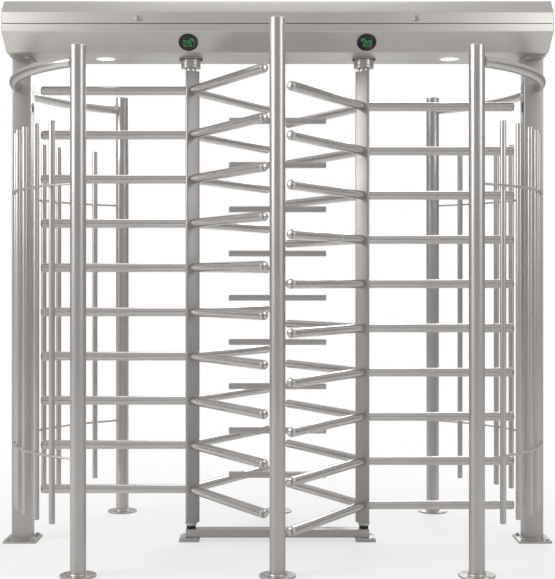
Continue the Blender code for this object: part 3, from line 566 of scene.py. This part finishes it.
# %% comb
comb_low, comb_high = span("centre_comb_post")
COMB_HALF, COMB_BARS, TOP_BAR, BAR_PITCH = 0.0125, 9, 1.801, 0.19
comb_shells = [post_shell(0.0, POST_Y, float(comb_high[2]))]
welds = []
stem_end = POST_Y - POST_R
collar = round_off([(0, 0.0035), (0.0155, 0.0035), (0.0165, 0), (0, 0)], 0.001, 2)
for number in range(COMB_BARS):
    z = TOP_BAR - BAR_PITCH * number
    low, high = z - COMB_HALF, z + COMB_HALF
    bar = (float(comb_low[0]), -COMB_HALF, low), (float(comb_high[0]), COMB_HALF, high)
    stem = (-COMB_HALF, COMB_HALF - 0.001, low), (COMB_HALF, stem_end + 0.004, high)
    comb_shells += [rounded_box(*bar, 0.0028), rounded_box(*stem, 0.0028)]
    seam = (-0.0145, COMB_HALF - 0.0006, z - 0.0118), (0.0145, COMB_HALF + 0.0016, z + 0.0118)
    welds += [rounded_box(*seam, 0.001, 2), turn(collar, (0, stem_end - 0.002, z), 24, "Y")]
piece("comb_post_and_bars", comb_shells, post_steel, "frame", "centre_comb_post")
piece("comb_welds", welds, weld_steel, "frame")
piece("comb_post_anchors", anchors(0, POST_Y), zinc, "frame")
print("comb of", COMB_BARS, "bars")

# %% [markdown]
# A rail is one length of tube rolled to a part circle, from the front post through the side
# column to the rear post. A curve object with a bevel would give the tube, but its ends can't be
# trimmed to the posts, so a ring is carried along an arc that stops inside each post. The cages
# below it are upright bars welded to two thin rolled rods, made the same way.

# %% rails and cages
BAR_CIRCLE = RAIL_CIRCLE - 0.0084
ROD_R, ROD_HEIGHTS = 0.0045, (0.441, 1.478)
ROD_CIRCLE = BAR_CIRCLE + BAR_R + ROD_R - 0.002
COLUMN_HALF = 0.0424
BAR_ANGLES = 12 + 8.8 * np.arange(5)


def circle_point(radius, degrees, sign, front=1.0, z=0.0):
    """Points on a cage circle; 0 degrees is straight out to the side."""
    a = np.radians(degrees)
    x = sign * (CAGE_X + radius * np.cos(a))
    return np.stack(np.broadcast_arrays(x, front * radius * np.sin(a), z), -1)


def degrees_of(length, radius):
    """The angle of an arc of that length."""
    return math.degrees(length / radius)


def rail_weld(front, sign):
    """A bead round the rail where it meets a post."""
    start = POST_DEG - degrees_of(POST_R + 0.0012, RAIL_CIRCLE)
    path = circle_point(RAIL_CIRCLE, front * (start + np.array([-0.25, -0.1, 0.1])), sign, 1, RAIL_Z)
    return tube(path, [RAIL_R + 0.0002, RAIL_R + 0.0012, RAIL_R + 0.0014], 32)


def cage(end, front, side, sign):
    """One panel: two rods from the side column to the post, five bars, a weld at each crossing."""
    shells, dots = [], []
    start = math.degrees(math.asin(COLUMN_HALF / ROD_CIRCLE))
    stop = POST_DEG - degrees_of(POST_R - 0.002, ROD_CIRCLE)
    for z in ROD_HEIGHTS:
        path = circle_point(ROD_CIRCLE, np.linspace(start, stop, 40), sign, front, z)
        shells.append(tube(path, ROD_R, 14))
    low, high = span(f"{end}_{side}_cage")
    bar = [(0, high[2]), (BAR_R, high[2]), (BAR_R, 1.0), (BAR_R, low[2]), (0, low[2])]
    dot = [(0, 0.0075), (0.005, 0.0055), (0.0068, 0), (0.005, -0.0055), (0, -0.0075)]
    for angle in BAR_ANGLES:
        x, y = circle_point(BAR_CIRCLE, angle, sign, front)[:2]
        shells.append(turn(round_off(bar, 0.0022), (x, y, 0), 24))
        spots = [circle_point(ROD_CIRCLE - 0.0035, angle, sign, front, z) for z in ROD_HEIGHTS]
        dots += [turn(dot, spot, 14) for spot in spots]
    piece(f"{end}_{side}_cage_bars", shells, bar_steel, "frame", f"{end}_{side}_cage")
    piece(f"{end}_{side}_cage_welds", dots, weld_steel, "frame")


for side, sign in SIDES:
    reach = POST_DEG - degrees_of(POST_R - 0.004, RAIL_CIRCLE)
    path = circle_point(RAIL_CIRCLE, np.linspace(-reach, reach, 90), sign, 1, RAIL_Z)
    piece(f"{side}_rail", [tube(path, RAIL_R, 32)], rail_steel, "frame", f"{side}_top_rail")
    piece(f"{side}_rail_welds", [rail_weld(front, sign) for _, front in ENDS], weld_steel, "frame")
    for end, front in ENDS:
        cage(end, front, side, sign)
print("two rails and four cage panels")

# %% [markdown]
# The side column is rectangular tube with rounded corners on a base plate, with a head plate
# bolted up to the canopy. Plain boxes would do for all three, but their hard edges never catch
# the light, so each is a rounded box. The rail passes through the tube, and thin dark rings round
# it are painted shade in the gaps; a dark disc on the inner face is painted shade for a spare
# hole. Bolts and a base weld make its size readable.

# %% side columns
BOX_OUT, BOX_IN, BOX_HALF, BASE_TOP, HOLE_SHADE_Z = SIDE_OUT - 0.030, SIDE_OUT - 0.112, 0.042, 0.010, 1.859
for side, sign in SIDES:
    low, high = span(f"{side}_side_column")
    top = float(high[2])
    x0, x1 = sorted((sign * BOX_OUT, sign * BOX_IN))
    shells = [rounded_box((x0, -BOX_HALF, 0.006), (x1, BOX_HALF, top - 0.001), 0.005, 4)]
    shells.append(rounded_box((x0, -0.085, top - 0.006), (x1, 0.085, top), 0.0012, 2))
    shells.append(rounded_box((float(low[0]), -0.075, 0), (float(high[0]), 0.075, BASE_TOP), 0.0015, 2))
    piece(f"{side}_box_column", shells, box_steel, "frame", f"{side}_side_column")
    fixings = []
    for fx in (float(low[0]) + 0.018, float(high[0]) - 0.018):
        for fy in (-0.058, 0.058):
            fixings += hex_bolt(fx, fy, BASE_TOP)
    piece(f"{side}_column_bolts", fixings, zinc, "frame")
    dome = [(0, -0.0068), (0.0040, -0.0060), (0.0068, -0.0036), (0.0078, -0.0008)]
    dome = round_off(dome + [(0.0100, -0.0006), (0.0100, 0), (0, 0)], 0.0008, 2)
    spots = [(fx, fy, top - 0.006) for fx in (x0 + 0.013, x1 - 0.013) for fy in (-0.064, 0.064)]
    piece(f"{side}_head_plate_bolts", [turn(dome, spot, 24) for spot in spots], turned_steel, "frame")
    foot_weld = (x0 - 0.0035, -0.0455, 0.0095), (x1 + 0.0035, 0.0455, 0.0135)
    head_weld = (x0 - 0.0006, -0.0450, top - 0.0090), (x1 + 0.0006, 0.0450, top - 0.0058)
    beads = [rounded_box(*foot_weld, 0.0038, 3), rounded_box(*head_weld, 0.003, 3)]
    piece(f"{side}_column_welds", beads, weld_steel, "frame")
    # The dark disc is painted shade: it stands for the shaded inside of the spare hole.
    plug = [(0, -0.0010), (0.0215, -0.0010), (0.0230, -0.0004), (0.0230, 0.003), (0, 0.003)]
    hole_shades = [turn([(r, sign * (BOX_IN + h)) for r, h in plug], (0, 0, HOLE_SHADE_Z), 28, "X")]
    # Thin dark rings of painted shade in the gaps where the rail passes through each face.
    for face in (x0, x1):
        near, far = face - 0.0008, face + 0.0008
        gap = [(RAIL_R, near), (RAIL_R + 0.0016, near), (RAIL_R + 0.0016, far), (RAIL_R, far)]
        hole_shades.append(hoop(gap, (0, 0, RAIL_Z), 32, "X"))
    piece(f"{side}_column_hole_shade", hole_shades, black_plastic, "frame")
print("two side columns")

# %% [markdown]
# The beam on the floor holds both pivot pins at their distance. It could be one long plate, but
# it is flat bar raised on two feet, so each is a rounded box of its own; every foot is screwed
# down in front and behind.

# %% floor beam
low, high = span("floor_beam")
beam = [rounded_box((low[0] + 0.026, -0.032, 0.016), (high[0] - 0.026, 0.032, 0.051), 0.0035, 4)]
pin = round_off([(0, 0.081), (0.012, 0.081), (0.012, 0.05), (0, 0.05)], 0.001)
head = [(0, 0.0205), (0.0045, 0.0200), (0.0058, 0.0175), (0.0058, 0.0165), (0, 0.0165)]
screws = []
for side, sign in SIDES:
    x = sign * (ROTOR_X + 0.006)
    beam.append(rounded_box((x - 0.042, -0.048, 0), (x + 0.042, 0.048, 0.0165), 0.002, 3))
    beam.append(turn(pin, (sign * ROTOR_X, 0, 0), 28))
    screws += [turn(head, (fx, fy, 0), 18) for fx in (x - 0.028, x + 0.028) for fy in (-0.0405, 0.0405)]
piece("beam_on_feet", beam, box_steel, "frame", "floor_beam")
piece("beam_screws", screws, zinc, "frame")
print("floor beam")

# %% [markdown]
# The canopy is two folded sheets: a tray below and a hinged cover above. A Solidify modifier on
# a bent plane would give a wall, but not the right inner bend, so a folded sheet is an outer and
# an inner line with a small radius at each bend, carried along the length, with a plate closing
# each end. The tray's upright lips stand behind the seam.

# %% canopy sheets
WALL, WIDE, NARROW, ROOF_WIDE, SEAM_GAP = 0.003, 0.226, 0.132, 0.172, 0.0015
BAND_LOW, SEAM, BAND_HIGH, ROOF = (UNDERSIDE + rise for rise in (0.068, 0.1015, 0.149, 0.206))
LOCK_X, LOCK_Z = 0.572, SEAM + 0.0215


def mirrored_line(line):
    """A line of (y, z) points followed by its mirror image about y = 0."""
    return line + [(-y, z) for y, z in line[::-1]]


def sheet(outer, inner, bend=0.004):
    """A folded sheet between its two lines, with a plate closing each end."""
    plate = round_off(mirrored_line(outer), bend, 5)
    outline = np.concatenate([plate, round_off(mirrored_line(inner)[::-1], bend * 0.6, 5)])
    return [
        carried(outline, -HALF_LENGTH + 0.001, HALF_LENGTH - 0.001, 0.0004, "X"),
        carried(plate, -HALF_LENGTH, -HALF_LENGTH + WALL, 0.0008, "X"),
        carried(plate, HALF_LENGTH - WALL, HALF_LENGTH, 0.0008, "X"),
    ]


def strip(front, y_near, y_far, z_low, z_high, short, edge):
    """A long thin block inside the front or rear sheet, shorter than the canopy at each end."""
    y0, y1 = sorted((front * y_near, front * y_far))
    return rounded_box((short - HALF_LENGTH, y0, z_low), (HALF_LENGTH - short, y1, z_high), edge, 2)


slope = WALL * math.tan(math.atan2(BAND_LOW - UNDERSIDE, WIDE - NARROW) / 2)
tray_line = [(WIDE, SEAM - SEAM_GAP), (WIDE, BAND_LOW), (NARROW, UNDERSIDE)]
tray_inner = [(WIDE - WALL, SEAM - SEAM_GAP), (WIDE - WALL, BAND_LOW + 0.0015)]
tray_inner.append((NARROW - slope, UNDERSIDE + WALL))
tray_shells = sheet(tray_line, tray_inner)
for _, front in ENDS:
    tray_shells.append(strip(front, 0.2197, 0.2227, BAND_LOW + 0.004, SEAM + 0.009, 0.006, 0.0008))
shelf = LOCK_Z + 0.007
for side, sign in SIDES:
    x0, x1 = sorted((sign * (LOCK_X - 0.016), sign * (LOCK_X - 0.052)))
    tray_shells.append(rounded_box((x0, -0.2202, SEAM), (x1, -0.2172, shelf + 0.003), 0.0008, 2))
    tray_shells.append(rounded_box((x0, -0.2192, shelf), (x1, -0.2042, shelf + 0.003), 0.0008, 2))
piece("tray_sheet", tray_shells, sheet_steel, "frame", "canopy_tray")
# Dark strips on the tray lips at the seam are painted shade, the shade inside the seam gap.
seam_shade_strips = [strip(front, 0.2220, 0.22285, SEAM - 0.006, SEAM + 0.006, 0.007, 0.0003) for _, front in ENDS]
piece("seam_painted_shade_strips", seam_shade_strips, painted_shade_dark, "frame")

knee = WALL * math.tan((math.pi / 2 - math.atan2(ROOF - BAND_HIGH, WIDE - ROOF_WIDE)) / 2)
cover_line = [(WIDE, SEAM + SEAM_GAP), (WIDE, BAND_HIGH), (ROOF_WIDE, ROOF)]
cover_inner = [(WIDE - WALL, SEAM + SEAM_GAP), (WIDE - WALL, BAND_HIGH - knee)]
cover_inner.append((ROOF_WIDE - 0.0012, ROOF - WALL))
piece("cover_sheet", sheet(cover_line, cover_inner), sheet_steel, "cover", "canopy_cover")
print("canopy sheets, bends of 4 mm")

# %% [markdown]
# Three butt hinges join the sheets behind. One long cylinder would hide how they work. So each
# hinge is a row of knuckles on one pin: the outer knuckles stay with the tray and the middle one
# swings with the cover, and each carries its own leaf and screws.

# %% hinges
HINGE_PLACES, HINGE_HALF, LEAF_OUT = (-0.76, 0.0, 0.76), 0.036, WIDE + 0.0016
fixed, swinging = [], []
screw = [(r, WIDE + h) for r, h in ((0, 0.0028), (0.0028, 0.0024), (0.0038, 0.0008), (0, 0.0008))]
for x in HINGE_PLACES:
    outer_and_middle = (-HINGE_HALF, -0.013, fixed), (-0.012, 0.012, swinging), (0.013, HINGE_HALF, fixed)
    for start, stop, home in outer_and_middle:
        line = round_off([(0, x + start), (0.0052, x + start), (0.0052, x + stop), (0, x + stop)], 0.0008, 2)
        home.append(turn(line, (0, WIDE, SEAM), 20, "X"))
    for home, z_low, z_high in ((fixed, SEAM - 0.026, SEAM - 0.002), (swinging, SEAM + 0.002, SEAM + 0.026)):
        leaf = (x - HINGE_HALF, WIDE, z_low), (x + HINGE_HALF, LEAF_OUT, z_high)
        home.append(rounded_box(*leaf, 0.0006, 2))
    for fx in (-0.024, 0.024):
        for home, z in ((fixed, SEAM - 0.016), (swinging, SEAM + 0.016)):
            home.append(turn(screw, (x + fx, 0, z), 14, "Y"))
piece("hinge_fixed_leaves", fixed, zinc, "frame")
piece("hinge_swinging_leaves", swinging, zinc, "cover")
print("three hinges")

# %% [markdown]
# A round display shows walkers which lane is open. A picture of an arrow would blur close up and
# can't be recoloured, so the arrow is real outline in two layers, a pale edge and a green face,
# over a glossy lens in a bezel. It sits on the front slope, so it is drawn flat first and then
# turned into the plane of that sheet.

# %% displays
TILT = math.atan2(BAND_LOW - UNDERSIDE, WIDE - NARROW)
STRETCH = np.array([1, 1.12, 1])
BEZEL_BACK, RING_STEPS = 0.0302, 56


def on_slope(part, x):
    """Turns a flat drawing about the X axis into the front slope; its +Z leaves the sheet."""
    points, faces = part
    a = math.pi - TILT
    y = points[:, 1] * math.cos(a) - points[:, 2] * math.sin(a)
    z = points[:, 1] * math.sin(a) + points[:, 2] * math.cos(a)
    place = [x, -(WIDE + NARROW) / 2, (BAND_LOW + UNDERSIDE) / 2]
    return np.stack([points[:, 0], y, z], -1) + place, faces


def stretched(part):
    """The round drawing as an oval, 1.12 times as tall as it is wide, except its narrow back."""
    points, faces = part
    wide = np.hypot(points[:, 0], points[:, 1])[:, None] > BEZEL_BACK
    return np.where(wide, points * STRETCH, points), faces


def arrow_outline(sign, grow=0.0):
    """A corner arrow that points down and outward; grow widens it by an offset."""
    half = [(0.0215 + 1.4 * grow, 0), (0.0050, 0.0165 + 1.4 * grow), (-0.0005 - 1.4 * grow, 0.0110)]
    half += [(0.0062 - 0.4 * grow, 0.0043 + grow), (-0.0200 - grow, 0.0043 + grow)]
    line = 1.25 * np.array(half + [(u, -v) for u, v in half[:0:-1]])
    u, v = line[:, 0] - 0.002, line[:, 1]
    return np.stack([sign * (u - v) / math.sqrt(2), -(u + v) / math.sqrt(2)], -1)


for side, sign in SIDES:
    x = sign * (ROTOR_X - 0.001)
    line = [(0, 0.0022), (0.0370, 0.0022), (0.0375, 0.0050), (0.0392, 0.0053), (0.0405, 0.0040)]
    line += [(0.0405, 0.0003), (0.030, 0.0003), (0.030, -0.025), (0, -0.025)]
    bezel = stretched(turn(round_off(line, 0.0006, 2), steps=RING_STEPS))
    piece(f"{side}_display_bezel", [on_slope(bezel, x)], black_plastic, "frame", f"{side}_display")
    line = [(0.0352, 0.0040), (0.0368, 0.0044), (0.0376, 0.0040), (0.0376, 0.0024), (0.0352, 0.0024)]
    ring = stretched(hoop(line, steps=RING_STEPS))
    piece(f"{side}_display_ring", [on_slope(ring, x)], black_plastic, "frame")
    line = [(0, 0.0042), (0.020, 0.0041), (0.0345, 0.0037), (0.0351, 0.0024), (0, 0.0024)]
    points, faces = turn(round_off(line, 0.0008, 2), steps=RING_STEPS)
    piece(f"{side}_display_lens", [on_slope((points * STRETCH, faces), x)], gloss_black, "frame")
    pale = carried(arrow_outline(sign, 0.0011), 0.0036, 0.0046, 0.0001)
    face = carried(arrow_outline(sign), 0.0040, 0.0050, 0.0001)
    piece(f"{side}_arrow_edge", [on_slope(pale, x)], arrow_pale, "frame")
    piece(f"{side}_arrow_face", [on_slope(face, x)], arrow_green, "frame")
print("two displays")

# %% [markdown]
# A downlight over each lane edge is a plastic rim around an opal disc. A flat disc would be the
# shortest way, but a diffuser is slightly domed, so that its edge catches the light; both are
# turned profiles, and the dome is a parabola.

# %% downlights
for side, sign in SIDES:
    x, z = sign * (POST_X - 0.012), UNDERSIDE - 0.0003
    line = [(0, z + 0.028), (0.034, z + 0.028), (0.034, z), (0.043, z), (0.0425, z - 0.0022)]
    line += [(0.040, z - 0.0035), (0.0372, z - 0.0035), (0.0362, z - 0.001), (0, z - 0.001)]
    rim = turn(round_off(line, 0.0008, 2), (x, 0, 0), 48)
    # The rim's faint glow is painted light.
    piece(f"{side}_light_rim", [rim], rim_painted_glow, "frame", f"{side}_downlight")
    t = np.linspace(0, 1, 7)
    disc = np.concatenate([np.stack([0.036 * t, z - 0.0030 + 0.0012 * t**2], -1), [[0.036, z], [0, z]]])
    piece(f"{side}_light_disc", [turn(disc, (x, 0, 0), 48)], diffuser, "frame")
print("two downlights")

# %% [markdown]
# A cam lock holds the cover: a turned face with a key slot outside, a barrel through the sheet
# and a tongue on its inner end. A slot could be cut with a Boolean, but at this size a thin dark
# block of painted shade, standing for the shade in the slot, looks the same and keeps the face
# clean. The whole lock turns, so every part of it rides the lock body.

# %% cover locks
SLOT_DEG, LOCK_FACE = -35, -(WIDE + 0.0003)
for side, sign in SIDES:
    x, z, front = sign * LOCK_X, LOCK_Z, LOCK_FACE
    face = [(0, front - 0.0030), (0.0085, front - 0.0030), (0.0092, front - 0.0022), (0.0100, front - 0.0030)]
    face += [(0.0130, front - 0.0028), (0.014, front - 0.0012), (0.014, front)]
    face += [(0.010, front), (0.010, front + 0.016), (0, front + 0.016)]
    tongue = (x - 0.006, front + 0.0155, z - 0.038), (x + 0.006, front + 0.0190, z + 0.006)
    line = round_off([(0, 0.0165), (0.0095, 0.0165), (0.0095, 0.0130), (0, 0.0130)], 0.0005, 2)
    points, faces = turn(line, steps=6)
    nut = (points[:, [0, 2, 1]] + [x, front, z], faces)
    barrel = turn(round_off(face, 0.0006, 2), (x, 0, z), 40, "Y")
    shells = [barrel, rounded_box(*tongue, 0.0010, 2), nut]
    piece(f"{side}_lock_barrel", shells, turned_steel, f"{side}_lock", f"{side}_cover_lock")
    # The key slot is a thin dark block of painted shade on the lock face, for the slot's shaded depth.
    points, faces = rounded_box((-0.0011, -0.0003, -0.0056), (0.0011, 0.0003, 0.0056), 0.0003, 2)
    (across, depth, up), a = points.T, math.radians(SLOT_DEG)
    tilted = [across * math.cos(a) - up * math.sin(a), depth, across * math.sin(a) + up * math.cos(a)]
    slot = (np.stack(tilted, -1) + [x, front - 0.0030, z], faces)
    piece(f"{side}_key_slot_shade", [slot], painted_shade_dark, f"{side}_lock")
print("two cover locks")

# %% [markdown]
# Under the cover, a notched disc on each shaft is what the counter and the lock read: twelve
# notches make thirty-degree steps. They could be cut one by one; here the radius is a formula of
# the angle, which also rounds each notch. A spring bolt slides out of a solenoid into a notch,
# and the control box stands between the two.

# %% mechanism in the canopy
DISC_EDGE, NOTCH_DEPTH, NOTCH_HALF_DEG = 0.075, 0.014, 5.6
hub = [(0, 0.007), (0.026, 0.007), (0.026, 0), (0, 0)]


def notched_outline(x):
    """The radius falls by NOTCH_DEPTH near each multiple of 30 degrees, on a smooth step."""
    a = np.linspace(0, 2 * math.pi, 361)[:-1]
    to_notch = np.abs((np.degrees(a) + 15) % 30 - 15)
    radius = DISC_EDGE - NOTCH_DEPTH / (1 + np.exp((to_notch - NOTCH_HALF_DEG) * 2.6))
    return np.stack([x + radius * np.cos(a), radius * np.sin(a)], -1)


def solenoid_plates(low, high):
    """Two end plates, and a floor and a lid drawn in a little so that no edges coincide."""
    inset = np.array([0.0003, 0.0004, 0.0003])
    inner_low, inner_high = low + inset, high - inset
    return [
        rounded_box(low, (low[0] + 0.004, high[1], high[2]), 0.001, 2),
        rounded_box((high[0] - 0.004, low[1], low[2]), high, 0.001, 2),
        rounded_box(inner_low, (inner_high[0], inner_high[1], low[2] + 0.004), 0.001, 2),
        rounded_box((inner_low[0], inner_low[1], high[2] - 0.004), inner_high, 0.001, 2),
    ]


for side, sign in SIDES:
    x = sign * ROTOR_X
    low, high = span(f"{side}_index_disc")
    line = round_off([(r, h + float(high[2]) - 0.001) for r, h in hub], 0.001)
    shells = [carried(notched_outline(x), float(low[2]), float(high[2]), 0.0007), turn(line, (x, 0, 0), 36)]
    piece(f"{side}_notched_disc", shells, zinc, f"{side}_rotor", f"{side}_index_disc")
    bolt_low, bolt_high = span(f"{side}_lock_bolt")
    z = float(bolt_low[2] + bolt_high[2]) / 2
    tip, tail = (bolt_low[0], bolt_high[0]) if sign < 0 else (bolt_high[0], bolt_low[0])
    step = math.copysign(1, tail - tip)
    line = [(0, tip), (0.0045, tip), (0.006, tip + step * 0.003), (0.006, tip + step * 0.014)]
    line += [(0.0052, tip + step * 0.015), (0.006, tip + step * 0.016), (0.006, tail), (0, tail)]
    bolt = turn(round_off(line, 0.0005, 2), (0, 0, z), 24, "X")
    piece(f"{side}_bolt", [bolt], rail_steel, f"{side}_bolt", f"{side}_lock_bolt")
    low, high = span(f"{side}_solenoid")
    piece(f"{side}_solenoid_frame", solenoid_plates(low, high), zinc, "frame", f"{side}_solenoid")
    t = np.linspace(low[0] + 0.004, high[0] - 0.004, 61)
    wire = 0.0172 + 0.0006 * np.abs(np.sin((t - t[0]) / (t[-1] - t[0]) * math.pi * 15))
    line = np.concatenate([[[0, t[0]]], np.stack([wire, t], -1), [[0, t[-1]]]])
    piece(f"{side}_solenoid_coil", [turn(line, (0, 0, z), 40, "X")], copper, "frame")
low, high = span("controller_box")
case = [rounded_box(low, (high[0], high[1], high[2] - 0.008), 0.003, 4)]
case.append(rounded_box((low[0], low[1], high[2] - 0.0075), high, 0.0025, 3))
for k in range(9):
    x = -0.072 + 0.018 * k
    louvre = (x - 0.006, -0.0765, low[2] + 0.016), (x + 0.006, -0.0745, low[2] + 0.036)
    case.append(rounded_box(*louvre, 0.0008, 2))
piece("control_box", case, grey_paint, "frame", "controller_box")
line = [(0, 0.0015), (0.003, 0.0012), (0.0042, 0), (0, -0.001)]
line = [(r, float(high[2]) + h) for r, h in line]
lid_screws = [turn(line, (fx, fy, 0), 16) for fx in (-0.098, 0.098) for fy in (-0.063, 0.063)]
piece("control_box_screws", lid_screws, zinc, "frame")
print("discs, bolts, solenoids and control box")

# %% [markdown]
# The set is plain: a pale floor, white all round for the camera, and soft lamps. Steel is only
# as lively as what it mirrors. An all-white room would be simpler, with one tone to mirror, so
# for glossy rays the room runs from light above to a darker band at the horizon.

# %% floor, world and lamps
FLOOR_SIZE, WHITE_FROM, WHITE_AT, WHITE_NEAR = 60, 1.0, 3.2, 0.62
bpy.ops.mesh.primitive_plane_add(size=FLOOR_SIZE, location=(0, 0, 0))
floor = bpy.context.object
floor.name = "studio_floor"
floor_finish = Finish("pale_floor", (0.86, 0.86, 0.85), 0.7, 0.0)
camera_ray = floor_finish.add("ShaderNodeLightPath", out=0)
white = floor_finish.add("ShaderNodeEmission", {"Color": (1, 1, 1, 1), "Strength": 1.0})
shaded = Value(floor_finish, floor_finish.shader.outputs[0])
where = floor_finish.add("ShaderNodeTexCoord", out="Object")
away = floor_finish.add("ShaderNodeVectorMath", {0: where}, out=1, operation="LENGTH")
reach = {0: away, 1: WHITE_FROM, 2: WHITE_AT, 3: WHITE_NEAR, 4: 1.0}
away = floor_finish.add("ShaderNodeMapRange", reach, interpolation_type="SMOOTHSTEP")
blend = floor_finish.add("ShaderNodeMixShader", {0: camera_ray * away, 1: shaded, 2: white})
floor_finish.links.new(blend.socket, floor_finish.nodes["Material Output"].inputs[0])
floor.data.materials.append(floor_finish.material)

world = bpy.data.worlds.new("soft_room")
bpy.context.scene.world = world
world.use_nodes = True
room = Nodes(world.node_tree)
room.nodes.clear()
direction = room.add("ShaderNodeTexCoord", out=0)
height = room.add("ShaderNodeSeparateXYZ", {0: direction}, out=2)
ramp = room.add("ShaderNodeValToRGB", {0: height * 0.5 + 0.5})
stops = ramp.socket.node.color_ramp.elements
stops[0].position, stops[0].color = 0.0, (0.62, 0.605, 0.565, 1)
stops[1].position, stops[1].color = 1.0, (0.62, 0.62, 0.625, 1)
for position, level in ((0.40, 0.46), (0.47, 0.20), (0.51, 0.20), (0.58, 0.42), (0.68, 0.62)):
    stops.new(position).color = (level, level * 0.985, level * 0.975, 1)
seen = room.add("ShaderNodeLightPath", out=0)
glossy = room.add("ShaderNodeLightPath", out=3)
ambient = room.add("ShaderNodeBackground", {"Color": (1, 1, 1, 1), "Strength": 0.55})
mirrored = room.add("ShaderNodeBackground", {"Color": ramp, "Strength": 1.0})
plain_white = room.add("ShaderNodeBackground", {"Color": (1, 1, 1, 1), "Strength": 1.0})
mixed = room.add("ShaderNodeMixShader", {0: glossy, 1: ambient, 2: mirrored})
mixed = room.add("ShaderNodeMixShader", {0: seen, 1: mixed, 2: plain_white})
output = room.nodes.new("ShaderNodeOutputWorld")
room.links.new(mixed.socket, output.inputs[0])


def soft_lamp(name, place, target, width, watts):
    """A square lamp of a given width that faces a point."""
    data = bpy.data.lights.new(name, "AREA")
    data.size, data.energy = width, watts
    lamp = bpy.data.objects.new(name, data)
    bpy.context.scene.collection.objects.link(lamp)
    lamp.location = place
    lamp.rotation_euler = (Vector(target) - Vector(place)).to_track_quat("-Z", "Y").to_euler()


soft_lamp("key_left", (-6.0, -2.6, 3.6), (0, 0, 1.2), 2.8, 190)
soft_lamp("fill_right", (4.6, -3.6, 3.0), (0, 0, 1.1), 2.2, 50)
soft_lamp("top", (0.0, 2.8, 5.4), (0, 0, 1.6), 3.2, 62)
soft_lamp("back_rim", (1.5, 5.5, 3.6), (0, 0, 1.2), 2.4, 90)
print("floor, room and four lamps")

# %% [markdown]
# The camera could look down a little, as a person does, but then the posts would lean. It stands
# level at chest height, a little over five metres back, and the sensor is shifted instead.

# %% camera
CAMERA_BACK, CAMERA_HEIGHT = 5.129, 1.100
lens_data = bpy.data.cameras.new("front_camera")
lens_data.sensor_width = 36
lens_data.lens = 74.2
lens_data.shift_y = -0.0095
camera = bpy.data.objects.new("front_camera", lens_data)
camera.location = (0, -CAMERA_BACK, CAMERA_HEIGHT)
camera.rotation_euler = (math.pi / 2, 0, 0)
bpy.context.scene.collection.objects.link(camera)
bpy.context.scene.camera = camera
bpy.context.scene.view_settings.view_transform = "Standard"
print("camera", CAMERA_BACK, "m back,", CAMERA_HEIGHT, "m up")
